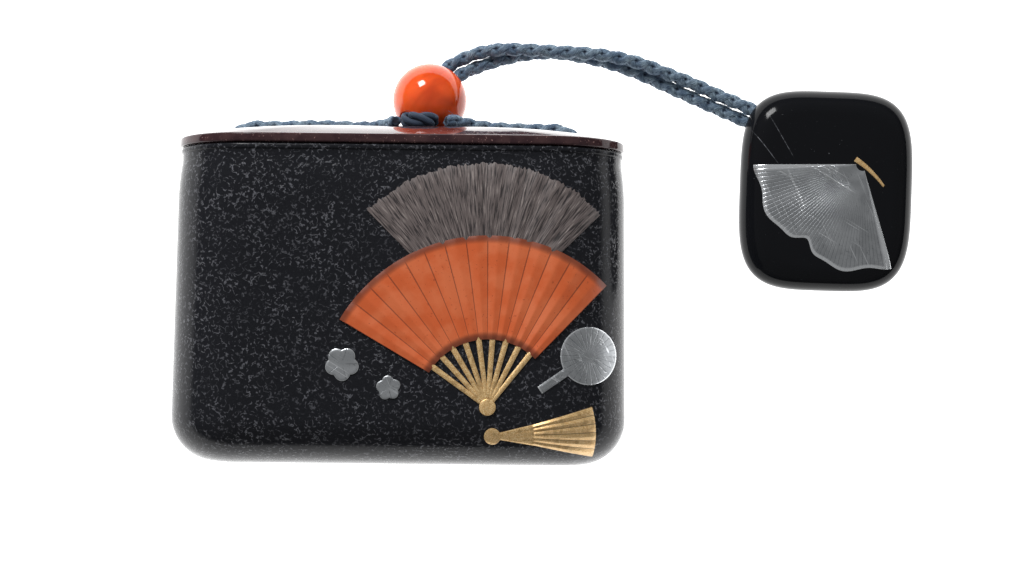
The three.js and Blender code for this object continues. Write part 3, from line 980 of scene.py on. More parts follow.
@dataclass(frozen=True)
class Fan:
    """A folding fan in raised lacquer: where its rivet is, its spread and its sizes."""

    x: float
    y: float
    start: float
    end: float
    inner: float
    reach: float
    pleats: int
    raised: float
    ribs: int
    fold: float = 0.12
    rib_width: float = 1.1
    rivet: float = 1.6
    ragged: float = 0.0
    rooted: float = 0.5

    def leaf(self, container: Container) -> Mesh:
        """The pleated leaf.

        Args:
            container: The box that it lies on.

        Returns:
            The leaf in the part's frame.
        """
        wild = random.Random(7)
        steps = self.pleats * 12
        teeth = np.array([wild.uniform(-1, 1) for _ in range(steps + 1)]) * self.ragged

        def place(u: Grid, v: Grid) -> tuple[Grid, Grid]:
            """Where the leaf's shares lie on the front."""
            edge = self.reach + np.interp(u * (len(teeth) - 1), np.arange(len(teeth)), teeth)
            return polar(self.x, self.y, self.start + (self.end - self.start) * u,
                         self.inner + (edge - self.inner) * v)

        def top(x: Grid, y: Grid, u: Grid, v: Grid) -> Grid:
            """The pleated upper face."""
            away = np.abs((u * self.pleats) % 1 - 0.5) * 2
            soft = np.clip(np.minimum(v, 1 - v) / 0.02, 0, 1)
            return container.front(x, y) + self.raised * (0.7 + 0.3 * soft) + self.fold * (1 - 2 * away)

        made = patch(place, steps, 30, top, lambda x, y: container.front(x, y) - self.rooted)
        return container.laid_mesh(made)

    def sticks(self, container: Container) -> Mesh:
        """The bare ribs below the leaf and the rivet that holds them.

        Args:
            container: The box that they lie on.

        Returns:
            The ribs and the rivet in the part's frame.
        """
        parts = []
        for i in range(self.ribs):
            heading = self.start + (self.end - self.start) * (i + 0.5) / self.ribs
            away, side = math.radians(heading), math.radians(heading + 90)

            def place(u: Grid, v: Grid) -> tuple[Grid, Grid]:
                """Where the rib's shares lie on the front."""
                along = 0.9 + (self.inner - 0.3) * v
                across = (u - 0.5) * self.rib_width * (0.75 + 0.25 * v)
                return (self.x + along * math.cos(away) + across * math.cos(side),
                        self.y + along * math.sin(away) + across * math.sin(side))

            def top(x: Grid, y: Grid, u: Grid, v: Grid) -> Grid:
                """The rib's rounded upper face."""
                crown = 1 - (2 * u - 1) ** 2
                return container.front(x, y) + self.raised * (0.45 + 0.3 * crown)

            parts.append(patch(place, 8, 24, top, lambda x, y: container.front(x, y) - self.rooted))
        parts.append(disc(self.x, self.y, lambda a: np.full_like(a, self.rivet), container.front,
                          lambda s: self.raised * (0.8 + 0.35 * np.sqrt(1 - np.minimum(s, 1) ** 2)),
                          self.rooted, 40))
        made = parts[0]
        for part in parts[1:]:
            made = made + part
        return container.laid_mesh(made)


def plate_proud(share: Grid) -> Grid:
    """How far a metal plate stands out, rounded off towards its edge.

    Args:
        share: Shares of its radius.

    Returns:
        The heights above the lacquer.
    """
    return INLAY_PROUD * (0.5 + 0.5 * np.sqrt(np.clip((1 - share) * 12, 0, 1)))


@dataclass(frozen=True)
class RoundFan:
    """The round fan's metal plate: a ribbed disc with a short handle."""

    x: float = 37.5
    y: float = 22
    radius: float = 5.6
    handle_start: float = 4.6
    handle_length: float = 7.0
    handle_width: float = 1.6
    heading: float = 215

    def plate(self, container: Container) -> Mesh:
        """The disc and the handle.

        Args:
            container: The box that they lie in.

        Returns:
            The plate in the part's frame.
        """
        away = math.radians(self.heading)

        def handle(u: Grid, v: Grid) -> tuple[Grid, Grid]:
            """Where the handle's shares lie on the front."""
            along = self.handle_start + self.handle_length * v
            across = (u - 0.5) * self.handle_width
            return (self.x + along * math.cos(away) - across * math.sin(away),
                    self.y + along * math.sin(away) + across * math.cos(away))

        def top(x: Grid, y: Grid, u: Grid, v: Grid) -> Grid:
            """The handle's upper face, rounded off at its sides."""
            return container.front(x, y) + INLAY_PROUD * (0.6 + 0.4 * (1 - (2 * u - 1) ** 4))

        face = disc(self.x, self.y, lambda a: np.full_like(a, self.radius), container.front, plate_proud,
                    INLAY_PROUD)
        grip = patch(handle, 8, 24, top, lambda x, y: container.front(x, y) - INLAY_PROUD)
        return container.laid_mesh(face + grip)


@dataclass(frozen=True)
class Blossom:
    """A five-petalled blossom cut from metal."""

    x: float
    y: float
    radius: float
    turn: float
    petals: int = 5

    def plate(self, container: Container) -> Mesh:
        """The blossom's plate.

        Args:
            container: The box that it lies in.

        Returns:
            The plate in the part's frame.
        """
        def edge(angle: Grid) -> Grid:
            """The petals' outline."""
            wave = np.abs(np.sin(np.radians(self.petals / 2 * (angle - self.turn))))
            return self.radius * (0.8 + 0.2 * wave)

        return container.laid_mesh(disc(self.x, self.y, edge, container.front, plate_proud, INLAY_PROUD))


@dataclass(frozen=True)
class FrontWork:
    """The raised fans and the metal inlays on the box's front."""

    great: Fan = Fan(x=18, y=12, start=46, end=150, inner=13, reach=33, pleats=14, raised=0.55, ribs=9)
    dark: Fan = Fan(x=17, y=27, start=45, end=135, inner=14, reach=32, pleats=12, raised=0.32, ribs=0,
                    ragged=0.35)
    gold: Fan = Fan(x=19, y=6.4, start=-12, end=17, inner=8, reach=20, pleats=6, raised=0.35, ribs=4)
    round_fan: RoundFan = RoundFan()
    blossoms: tuple[Blossom, ...] = (Blossom(-10, 20, 3.3, 20), Blossom(-1, 15.5, 2.4, -12))

    def build(self, container: Container) -> None:
        """Adds the fans and the inlays, each in its own finish.

        Args:
            container: The box that they lie on.
        """
        gilt = GoldLacquer().make()
        pleated_gilt = GoldLacquer(folds=6.0).make()
        add_piece("dark_fan_leaf", self.dark.leaf(container), CombedLacquer().make(), Slot.CHARCOAL)
        add_piece("great_fan_leaf", self.great.leaf(container), VermilionLacquer().make(), Slot.VERMILION,
                  sharp=50.0)
        add_piece("great_fan_ribs", self.great.sticks(container), gilt, Slot.GOLD)
        add_piece("gold_fan_leaf", self.gold.leaf(container), pleated_gilt, Slot.GOLD)
        add_piece("gold_fan_ribs", self.gold.sticks(container), gilt, Slot.GOLD)
        ribbed = Pewter("pewter_ribbed", veins=26.0).make()
        add_piece("fan_inlay_plate", self.round_fan.plate(container), ribbed, Slot.PEWTER, ("fan_inlay",))
        petals = Pewter("pewter_petals", veins=5.0, vein_width=0.05).make()
        for i, blossom in enumerate(self.blossoms, 1):
            add_piece(f"blossom_{i}", blossom.plate(container), petals, Slot.PEWTER, (f"blossom_inlay_{i}",))
        LOG.info("built the fans and the inlays")


@dataclass(frozen=True)
class Lid:
    """The lift-off lid: a band, a domed top, a spigot inside the mouth and two cord holes."""

    container: Container
    seam_gap: float = 0.25
    band_height: float = 1.8
    band_round: float = 0.4
    dome_rise: float = 3.3
    front_power: float = 1.9
    side_power: float = 4.2
    thickness: float = 2.2
    spigot_depth: float = 4.5
    spigot_thickness: float = 1.6
    spigot_clearance: float = 0.3
    hole_spacing: float = 70.8
    hole_tilt: float = 40.0
    hole_back: float = 6.0
    hole_radius: float = 1.75
    drill_below: float = 5.5
    drill_above: float = 6.0

    @property
    def foot(self) -> float:
        """The band's lower edge."""
        return self.container.height + self.seam_gap

    @property
    def crown(self) -> float:
        """The band's upper edge."""
        return self.foot + self.band_height

    @property
    def section(self) -> tuple[float, float, float]:
        """The band's half width, half depth and corner radius."""
        return self.container.section(self.crown)

    def dome(self, x: Grid, z: Grid, scale: float) -> Grid:
        """The dome's height over the band where edge points are shrunk towards the middle.

        Args:
            x: The edge points' x.
            z: The edge points' depth.
            scale: How far they are shrunk.

        Returns:
            The heights.
        """
        half_width, half_depth, _ = self.section
        sideways = np.abs(x / half_width) ** self.side_power
        forwards = np.abs(z / half_depth) ** self.front_power
        lost = sideways * scale ** self.side_power + forwards * scale ** self.front_power
        return self.dome_rise * (1 - lost / (sideways + forwards))

    def dome_ring(self, edge: Grid, scale: float, drop: float) -> Grid:
        """One ring of the dome.

        Args:
            edge: The band's outline.
            scale: How far the ring is shrunk.
            drop: How far it lies under the upper face.

        Returns:
            The ring.
        """
        rise = self.dome(edge[:, 0], edge[:, 2], scale)
        return np.column_stack([edge[:, 0] * scale, self.crown + rise - drop, edge[:, 2] * scale])

    def shape(self) -> Mesh:
        """The lid without its holes.

        Returns:
            The closed skin in the part's frame.
        """
        box = self.container
        mouth = box.section(box.height, box.wall)
        inset = box.neck_inset + self.spigot_clearance
        spigot_foot = self.foot - self.spigot_depth
        scales = [0.985, 0.96, 0.93, 0.89, 0.84, 0.78, 0.7, 0.6, 0.48, 0.34, 0.2, 0.08]
        crown = box.ring(self.crown, self.section, self.band_round)
        inner = inset + self.spigot_thickness
        share = box.ring(0, mouth, inner)[0, 0] / crown[0, 0]
        rings = [self.dome_ring(crown, s, self.thickness) for s in scales[::-1] if s < share - 0.03]
        rings += [box.ring(self.crown - self.thickness, mouth, inner), box.ring(spigot_foot, mouth, inner)]
        rings += [box.ring(spigot_foot, mouth, inset + 0.3), box.ring(spigot_foot + 0.3, mouth, inset)]
        rings += [box.ring(self.foot, mouth, inset), box.ring(self.foot, self.section, self.band_round)]
        for angle in np.linspace(-75, 0, 6):
            rise = self.band_round * (1 + math.sin(math.radians(angle)))
            rings.append(box.ring(self.foot + rise, self.section,
                                  self.band_round * (1 - math.cos(math.radians(angle)))))
        for angle in np.linspace(0, 75, 6):
            rise = self.band_round * (1 - math.sin(math.radians(angle)))
            rings.append(box.ring(self.crown - rise, self.section,
                                  self.band_round * (1 - math.cos(math.radians(angle)))))
        rings.append(crown)
        rings += [self.dome_ring(crown, s, 0.0) for s in scales]
        return box.laid_mesh(loft(rings))

    def hole(self, side: int) -> tuple[Vector, Vector]:
        """The ends of a cord hole, from inside the lid to above it.

        Args:
            side: -1 for the left hole and 1 for the right one.

        Returns:
            The two ends in the part's frame.
        """
        half_width, half_depth = (size - self.band_round for size in self.section[:2])
        x = side * self.hole_spacing / 2
        lost = (abs(x) / half_width) ** self.side_power + (self.hole_back / half_depth) ** self.front_power
        tilt = math.radians(self.hole_tilt)
        mouth = np.array([x, self.crown + self.dome_rise * (1 - lost), -self.hole_back])
        slope = np.array([-side * math.cos(tilt), math.sin(tilt), 0.0])
        ends = self.container.laid(np.array([mouth - self.drill_below * slope,
                                             mouth + self.drill_above * slope]))
        return Vector(ends[0]), Vector(ends[1])

    def build(self) -> None:
        """Adds the lid in its brown lacquer and drills its cord holes."""
        brown = PolishedLacquer("polished_brown_lacquer", "#352226", "#8d6b66", specks=0.05, mottle=0.12,
                                ior=1.32).make()
        piece = add_piece("lid_shell", self.shape(), brown, Slot.BROWN, ("lid",))
        for side in (-1, 1):
            bore(piece, *self.hole(side), self.hole_radius)
        LOG.info("built the lid")


@dataclass(frozen=True)
class Toggle:
    """The toggle: a cushion of superellipse outlines with a leaf let into its face."""

    width: float = 36.2
    length: float = 42.1
    thickness: float = 11.5
    face_dome: float = 0.35
    edge: float = 5.5
    squareness: float = 3.8
    x: float = 88.2
    y: float = 24.6
    turn: float = -1.3
    hole_radius: float = 1.75
    leaf_x: float = 6.5
    leaf_y: float = 5.5
    leaf_start: float = 182.0
    leaf_end: float = 288.0
    leaf_stub: float = 1.4
    leaf_reach: float = 22.0
    leaf_lobes: int = 4
    leaf_wave: float = 0.5
    leaf_notch: float = 3.2
    notch_spread: float = 0.12
    stem_heading: float = -34.0
    stem_bend: float = 10.0
    stem_start: float = -1.872
    stem_length: float = 8.208
    stem_width: float = 1.1
    drill_lead: float = 4.0
    hole_depth: float = 1.5
    hairlines: tuple[tuple[float, float, float, float], ...] = (
        (75.1, 40.7, 80.8, 30.8), (71.8, 37.3, 77.7, 29.5),
    )

    @property
    def half(self) -> float:
        """The height of the widest outline."""
        return (self.thickness - self.face_dome) / 2

    def placed(self, mesh: Mesh) -> Mesh:
        """Puts a mesh made round the toggle's middle where the toggle lies.

        Args:
            mesh: The mesh.

        Returns:
            The mesh in the part's frame.
        """
        cos, sin = math.cos(math.radians(self.turn)), math.sin(math.radians(self.turn))
        x, y, z = mesh.points.T
        points = np.column_stack([self.x + x * cos - y * sin, self.y + x * sin + y * cos, z])
        return Mesh(points, mesh.faces, mesh.shares)

    def outline(self, inset: float, z: float, scale: float = 1.0, steps: int = 200) -> Grid:
        """One outline of the cushion.

        Args:
            inset: How far it is moved in.
            z: Its height.
            scale: How far it is shrunk.
            steps: Its points.

        Returns:
            Rows of x, y and z.
        """
        angle = np.arange(steps) * 2 * math.pi / steps
        power = 2 / self.squareness
        cos, sin = np.cos(angle), np.sin(angle)
        return np.column_stack([
            scale * (self.width / 2 - inset) * np.sign(cos) * np.abs(cos) ** power,
            scale * (self.length / 2 - inset) * np.sign(sin) * np.abs(sin) ** power,
            np.full(steps, z),
        ])

    def size_at(self, x: Grid, y: Grid, inset: Grid) -> Grid:
        """Where places lie against an outline: under 1 inside it.

        Args:
            x: Places across.
            y: Places along.
            inset: How far the outline is moved in.

        Returns:
            The measure.
        """
        return (np.abs(x / (self.width / 2 - inset)) ** self.squareness
                + np.abs(y / (self.length / 2 - inset)) ** self.squareness)

    def top(self, x: Grid, y: Grid) -> Grid:
        """The face's height.

        Args:
            x: Places across.
            y: Places along.

        Returns:
            The heights.
        """
        face = self.size_at(x, y, np.full_like(x, self.edge))
        low, high = np.zeros_like(x), np.full_like(x, self.edge)
        for _ in range(30):
            middle = (low + high) / 2
            out = self.size_at(x, y, middle) > 1
            high = np.where(out, middle, high)
            low = np.where(out, low, middle)
        shoulder = self.half * (1 + np.sqrt(np.clip(1 - (1 - low / self.edge) ** 2, 0, 1)))
        flat = self.half * 2 + self.face_dome * (1 - np.minimum(face, 1) ** (2 / self.squareness))
        return np.where(face <= 1, flat, shoulder)

    def shape(self) -> Mesh:
        """The cushion.

        Returns:
            The closed skin in the part's frame.
        """
        rings = []
        for angle in np.linspace(-math.pi / 2, math.pi / 2, 41):
            rings.append(self.outline(self.edge * (1 - math.cos(angle)), self.half * (1 + math.sin(angle))))
        for scale in (0.9, 0.75, 0.6, 0.45, 0.3, 0.15):
            rings.append(self.outline(self.edge, self.half * 2 + self.face_dome * (1 - scale ** 2), scale))
        return self.placed(loft(rings))

    def leaf(self) -> Mesh:
        """The ginkgo leaf.

        Returns:
            The leaf in the part's frame.
        """
        aim, half = (self.leaf_start + self.leaf_end) / 2, (self.leaf_end - self.leaf_start) / 2

        def place(u: Grid, v: Grid) -> tuple[Grid, Grid]:
            """Where the leaf's shares lie on the face."""
            off = 2 * u - 1
            reach = self.leaf_reach + self.leaf_wave * np.cos(math.pi * self.leaf_lobes * off)
            reach = reach - self.leaf_notch * np.exp(-((off / self.notch_spread) ** 2))
            return polar(self.leaf_x, self.leaf_y, aim + off * half,
                         self.leaf_stub + (reach - self.leaf_stub) * v)

        def top(x: Grid, y: Grid, u: Grid, v: Grid) -> Grid:
            """The leaf's upper face, rounded off towards its edge."""
            away = np.minimum(np.minimum(u, 1 - u) * 12, np.minimum(v, 1 - v) * 14)
            return self.top(x, y) + INLAY_PROUD * (0.35 + 0.65 * np.sqrt(np.clip(away, 0, 1)))

        return self.placed(patch(place, 120, 50, top, lambda x, y: self.top(x, y) - INLAY_PROUD))

    def stem(self) -> Mesh:
        """The leaf's stem, a thin raised line that bends as it tapers.

        Returns:
            The stem in the part's frame.
        """
        def place(u: Grid, v: Grid) -> tuple[Grid, Grid]:
            """Where the stem's shares lie on the face."""
            heading = np.radians(self.stem_heading - self.stem_bend * v)
            along = self.stem_start + self.stem_length * v
            x = self.leaf_x + along * np.cos(heading)
            y = self.leaf_y + along * np.sin(heading)
            across = (u - 0.5) * (self.stem_width - 0.6 * v)
            return x - across * np.sin(heading), y + across * np.cos(heading)

        def top(x: Grid, y: Grid, u: Grid, v: Grid) -> Grid:
            """The stem's rounded upper face."""
            return self.top(x, y) + 0.16 * (1 - (2 * u - 1) ** 2) + 0.04

        return self.placed(patch(place, 10, 40, top, lambda x, y: self.top(x, y) - 0.2))

    def build(self) -> None:
        """Adds the cushion, drills a hole for each strand, and adds the leaf and its stem."""
        black = PolishedLacquer("polished_black_lacquer", "#131417", "#6d7075", specks=-0.03, roughness=0.1,
                                ior=1.2, hairlines=self.hairlines).make()
        piece = add_piece("toggle_cushion", self.shape(), black, Slot.POLISHED, ("toggle",))
        for strand in STRANDS[2:]:
            before, end = (Vector(p) for p in strand.points[-2:])
            way = (end - before).normalized()
            bore(piece, before - way * self.drill_lead, end + way * self.hole_depth, self.hole_radius)
        veined = Pewter("pewter_veined", veins=46.0, vein_width=0.14, closed=False).make()
        add_piece("toggle_leaf", self.leaf(), veined, Slot.PEWTER, ("toggle_inlay",))
        add_piece("toggle_stem", self.stem(), GoldLacquer().make(), Slot.GOLD)
        LOG.info("built the toggle")


@dataclass(frozen=True)
class Bead:
    """The bead, with the bore that both strands run through."""

    radius: float = 7.72
    bore: float = 3.0
    heading: float = 57.9
    dip: float = 30.0
    mouth_round: float = 0.35

    def shape(self, centre: Sequence[float]) -> Mesh:
        """The bead as a turned ring round its bore.

        Args:
            centre: Its middle in the part's frame.

        Returns:
            The closed skin.
        """
        away, dip = math.radians(self.heading), math.radians(self.dip)
        axis = np.array([math.cos(dip) * math.cos(away), math.cos(dip) * math.sin(away), -math.sin(dip)])
        side = np.cross(axis, [0.0, 0.0, 1.0])
        side /= np.linalg.norm(side)
        other = np.cross(axis, side)
        start = math.asin((self.bore + self.mouth_round) / self.radius)
        profile = [(self.radius * math.sin(a), self.radius * math.cos(a))
                   for a in np.linspace(start, math.pi - start, 90)]
        end = profile[0][1]
        inside = end - self.mouth_round
        profile += [(self.bore, y) for y in np.linspace(-inside, inside, 12)]
        turns = 128
        rings = []
        for angle in np.arange(turns) * 2 * math.pi / turns:
            out = side * math.cos(angle) + other * math.sin(angle)
            rings.append(np.array([np.array(centre) + out * r + axis * y for r, y in profile]))
        count = len(profile)
        faces = []
        for i in range(turns):
            for j in range(count):
                a, b = i * count + j, i * count + (j + 1) % count
                c, d = (a + count) % (turns * count), (b + count) % (turns * count)
                faces.append((a, b, d, c))
        points = np.vstack(rings)
        return outward(Mesh(points, faces, np.zeros((len(points), 2))))

    def centre(self) -> list[float]:
        """Finds the bead's middle from its solid.

        Returns:
            The middle in millimetres.
        """
        low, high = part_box("bead")
        return [(low[0] + high[0]) / 2 / MM, (low[1] + high[1]) / 2 / MM, self.radius]

    def build(self) -> None:
        """Adds the bead in its coral stone."""
        add_piece("bead_ball", self.shape(self.centre()), CoralStone().make(), Slot.CORAL, ("bead",))
        LOG.info("built the bead")


def smooth_route(points: Sequence[Sequence[float]], step: float) -> Grid:
    """Follows a centripetal Catmull-Rom curve through points.

    Args:
        points: The points.
        step: The spacing of the result.

    Returns:
        Evenly spaced points on the curve.
    """
    given = np.array(points, dtype=float)
    given = np.vstack([2 * given[0] - given[1], given, 2 * given[-1] - given[-2]])
    fine = []
    for i in range(len(given) - 3):
        p = given[i:i + 4]
        knots = np.concatenate([[0.0], np.cumsum(np.linalg.norm(np.diff(p, axis=0), axis=1) ** 0.5)])
        t = np.linspace(knots[1], knots[2], 24, endpoint=False)[:, None]

        def blend(a: Grid, b: Grid, start: float, end: float) -> Grid:
            """A mix of two points or curves that runs from the first to the second."""
            return a + (b - a) * (t - start) / (end - start)

        first = [blend(p[j], p[j + 1], knots[j], knots[j + 1]) for j in range(3)]
        second = [blend(first[j], first[j + 1], knots[j], knots[j + 2]) for j in range(2)]
        fine.append(blend(second[0], second[1], knots[1], knots[2]))
    curve = np.vstack(fine + [given[-2][None]])
    along = np.concatenate([[0.0], np.cumsum(np.linalg.norm(np.diff(curve, axis=0), axis=1))])
    places = np.linspace(0, along[-1], max(2, round(along[-1] / step)) + 1)
    return np.column_stack([np.interp(places, along, curve[:, k]) for k in range(3)])


def frames_along(route: Grid) -> tuple[Grid, Grid, Grid]:
    """Axes that follow a route without twisting.

    Args:
        route: Points along it.

    Returns:
        The tangents and two sides at each point.
    """
    tangents = np.gradient(route, axis=0)
    tangents /= np.linalg.norm(tangents, axis=1)[:, None]
    side = np.cross(tangents[0], [0.0, 0.0, 1.0])
    sides = []
    for tangent in tangents:
        side = side - tangent * np.dot(side, tangent)
        side = side / np.linalg.norm(side)
        sides.append(side)
    first = np.array(sides)
    return tangents, first, np.cross(tangents, first)


def yarn(path: Grid, centre: Grid, thick: float, wide: float, sides: int = 10) -> Mesh:
    """One yarn of a braid: a flattened tube that faces away from the braid's middle.

    Args:
        path: The yarn's middle line.
        centre: The braid's middle line.
        thick: Its half thickness.
        wide: Its half width.
        sides: Points round it.

    Returns:
        The tube, with shares round it and its length in millimetres along it.
    """
    tangents = np.gradient(path, axis=0)
    tangents /= np.linalg.norm(tangents, axis=1)[:, None]
    out = path - centre
    out -= tangents * np.sum(out * tangents, axis=1)[:, None]
    out /= np.maximum(np.linalg.norm(out, axis=1), 1e-6)[:, None]
    across = np.cross(tangents, out)
    rings = []
    for i, point in enumerate(path):
        end = min(i, len(path) - 1 - i)
        swell = min(1.0, 0.45 + 0.2 * end)
        angle = np.arange(sides) * 2 * math.pi / sides
        rings.append(point + np.outer(np.cos(angle), out[i]) * thick * swell
                     + np.outer(np.sin(angle), across[i]) * wide * swell)
    made = loft(rings)
    length = np.concatenate([[0.0], np.cumsum(np.linalg.norm(np.diff(path, axis=0), axis=1))])
    shares = made.shares.copy()
    for i, along in enumerate(length):
        shares[i * sides:(i + 1) * sides, 1] = along
    return Mesh(made.points, made.faces, shares)


def curl_side(lean: Grid, out: Grid) -> Grid:
    """A unit vector square to a fibre's direction.

    Args:
        lean: The fibre's direction.
        out: The way out of the braid.

    Returns:
        The vector.
    """
    across = np.cross(lean, out)
    return across / max(float(np.linalg.norm(across)), 1e-6)


def stray_fibres(name: str, count: int, route: Grid, side: Grid, other: Grid, radius: float) -> Mesh:
    """Short stray fibres that stand off a strand.

    Args:
        name: The strand's name, which seeds their places.
        count: How many there are.
        route: The strand's middle line.
        side: One side at each of its points.
        other: The other side.
        radius: The strand's radius.

    Returns:
        The fibres as thin three-sided tubes.
    """
    wild = random.Random(name)
    parts = None
    for _ in range(count):
        i = wild.randrange(6, len(route) - 7)
        angle = wild.uniform(0, 2 * math.pi)
        out = side[i] * math.cos(angle) + other[i] * math.sin(angle)
        tangent = (route[i + 1] - route[i - 1]) / np.linalg.norm(route[i + 1] - route[i - 1])
        lean = tangent * wild.choice((-1, 1)) * wild.uniform(0.6, 1.6) + out * wild.uniform(0.15, 0.7)
        lean /= np.linalg.norm(lean)
        curl = np.cross(lean, out) * wild.uniform(-0.5, 0.5)
        reach = wild.uniform(0.7, 2.2)
        rings = []
        for share in (0.0, 0.35, 0.7, 1.0):
            middle = (route[i] + out * radius * 0.85 + lean * reach * share
                      + (curl - out * 0.25) * reach * share ** 2)
            middle[2] = max(middle[2], 0.05)
            thin = 0.045 * (1 - 0.6 * share)
            rings.append(np.array([
                middle + out * thin * math.cos(a) + curl_side(lean, out) * thin * math.sin(a)
                for a in (0.0, 2.1, 4.2)
            ]))
        part = loft(rings)
        parts = part if parts is None else parts + part
    return parts


@dataclass(frozen=True)
class Cord:
    """One strand of the doubled cord: a round braid of four yarns with stray fibres."""

    name: str
    points: tuple[tuple[float, float, float], ...]
    far_end: str
    diameter: float = 2.8
    pitch: float = 7.4
    fuzz: int = 170
    core: float = 0.6
    yarn_centre: float = 0.50
    yarn_lift: float = 0.11
    yarn_thick: float = 0.45
    yarn_wide: float = 0.64

    def build(self, material: bpy.types.Material, with_pieces: Sequence[bpy.types.Object] = ()) -> None:
        """Args:
            material: Its finish.
            with_pieces: Separate pieces on it; not used.
        """
        route = smooth_route(self.points, 0.22)
        _, side, other = frames_along(route)
        length = float(np.sum(np.linalg.norm(np.diff(route, axis=0), axis=1)))
        along = np.linspace(0, length, len(route))
        radius = self.diameter / 2
        centre, lift = self.yarn_centre * radius, self.yarn_lift * radius
        thick, wide = self.yarn_thick * radius, self.yarn_wide * radius
        turn = np.arange(16) * 2 * math.pi / 16
        made = loft([
            at + self.core * radius * (np.outer(np.cos(turn), side[i]) + np.outer(np.sin(turn), other[i]))
            for i, at in enumerate(route)
        ][::2])
        for way in (1, -1):
            for start in (0.0, math.pi):
                angle = way * 2 * math.pi * along / self.pitch + start
                wave = way * lift * np.cos(4 * math.pi * along / self.pitch)
                away = (centre + wave)[:, None]
                path = route + away * (side * np.cos(angle)[:, None] + other * np.sin(angle)[:, None])
                made = made + yarn(path, route, thick, wide)
        strands = len(made.points)
        made = made + stray_fibres(self.name, self.fuzz, route, side, other, radius)
        # Each point's distance from the strand's middle line is its height, which the silk's finish turns
        # into painted shade in the gaps and a painted highlight on the crests.
        near = np.linalg.norm(made.points[:, None, :] - route[None, ::4, :], axis=2).min(axis=1)
        crest = np.clip((near / radius - 0.45) / 0.5, 0, 1)
        # painted highlight: the stray fibres get a crest's height, so they take the pale highlight colour.
        crest[strands:] = 0.9
        piece = add_piece(self.name + "_braid", made, material, Slot.CORD, (self.name,), BRAID_SHARP, crest)
        exit_point = tuple(float(v) * MM for v in self.points[0])
        [tuple(p * MM) for p in smooth_route(self.points, 1.0)]


@dataclass(frozen=True)
class Knot:
    """The knot at the bead's foot, where both strands over the lid come together."""

    centre: tuple[float, float, float] = (3.2, 37.6, 16.6)
    radii: tuple[float, float, float] = (4.2, 1.6, 2.4)
    yarn_radius: float = 0.7
    fuzz: int = 90
    shade: float = 0.5

    def build(self, material: bpy.types.Material) -> bpy.types.Object:
        """Adds the knot.

        Args:
            material: Its finish.

        Returns:
            The knot.
        """
        turn = np.linspace(0, 2 * math.pi, 260)
        reach = np.array(self.radii) - self.yarn_radius
        open_by = 0.76 + 0.24 * np.cos(5 * turn)
        path = np.array(self.centre) + np.column_stack([
            reach[0] * np.cos(3 * turn) * open_by,
            reach[1] * np.sin(5 * turn),
            reach[2] * np.sin(3 * turn) * open_by,
        ])
        middle = np.tile(np.array(self.centre), (len(path), 1))
        _, side, other = frames_along(path)
        stray = stray_fibres("knot", self.fuzz, path, side, other, self.yarn_radius)
        made = yarn(path, middle, self.yarn_radius * 0.85, self.yarn_radius) + stray
        # painted shade and highlight: the distance from the knot's middle sets its height in the braid's
        # colours, scaled by shade so that the knot stays darker
        near = np.linalg.norm((made.points - np.array(self.centre)) / np.array(self.radii), axis=1)
        return add_piece("knot_braid", made, material, Slot.CORD, ("knot",), BRAID_SHARP,
                         np.clip(near, 0, 1) * self.shade)


STRANDS = (
    Cord("cord_left", (
        (-37.1, 32.72, 11.62), (-35.4, 34.15, 11.57), (-33.7, 35.5, 11.3), (-31.4, 36.25, 10.7),
        (-28.6, 36.29, 10.3), (-25.1, 36.35, 10.0), (-21.5, 36.49, 10.0), (-18, 36.57, 10.0),
        (-14.5, 36.57, 9.75), (-11, 36.46, 9.4), (-8, 36.48, 9.6), (-5.4, 36.7, 10.65),
        (-3.6, 37.0, 12.1), (-2.4, 37.3, 13.7), (-1.8, 37.5, 15.2),
    ), "knot"),
    Cord("cord_right", (
        (37.1, 32.72, 11.62), (35.4, 34.15, 11.57), (33.7, 35.5, 11.3), (31.4, 36.25, 10.7),
        (28.1, 36.31, 10.2), (24.6, 36.36, 9.9), (21, 36.48, 9.9), (18, 36.6, 10.1), (15.6, 36.77, 10.9),
        (13.6, 37.0, 12.1), (11.8, 37.3, 13.6), (10.2, 37.5, 14.9), (8.6, 37.6, 15.8),
    ), "knot"),
    Cord("cord_upper", (
        (6.46, 47.63, 4.6), (7.26, 48.96, 3.9), (8.5, 50.2, 3.2), (10.2, 51.3, 2.85), (13, 52.65, 2.6),
        (16, 53.55, 2.8), (18.9, 53.9, 3.55), (21.9, 53.97, 4.0), (24.8, 53.85, 4.27), (30.8, 53.55, 4.36),
        (36.7, 53.3, 4.3), (42.6, 52.7, 4.1), (48.6, 51.45, 3.72), (54.6, 49.35, 3.3), (60.6, 47.15, 2.65),
        (66.6, 44.5, 2.8), (69.8, 43.2, 3.1), (72.8, 41.8, 3.6), (76.2, 40.1, 4.4),
    ), "object"),
    Cord("cord_lower", (
        (8.94, 46.17, 4.6), (9.74, 47.34, 3.8), (11.3, 48.7, 2.8), (13.3, 49.8, 2.0), (16, 50.85, 1.5),
        (18.9, 51.85, 1.45), (21.9, 52.6, 1.45), (24.9, 53.2, 1.45), (30.8, 53.6, 1.45), (36.8, 52.85, 1.45),
        (42.8, 51.5, 1.45), (48.8, 49.45, 1.45), (54.8, 46.85, 1.45), (60.8, 44.2, 1.45), (66.7, 41.65, 1.5),
        (71.2, 39.7, 1.8), (74.7, 38.05, 2.6),
    ), "object"),
)


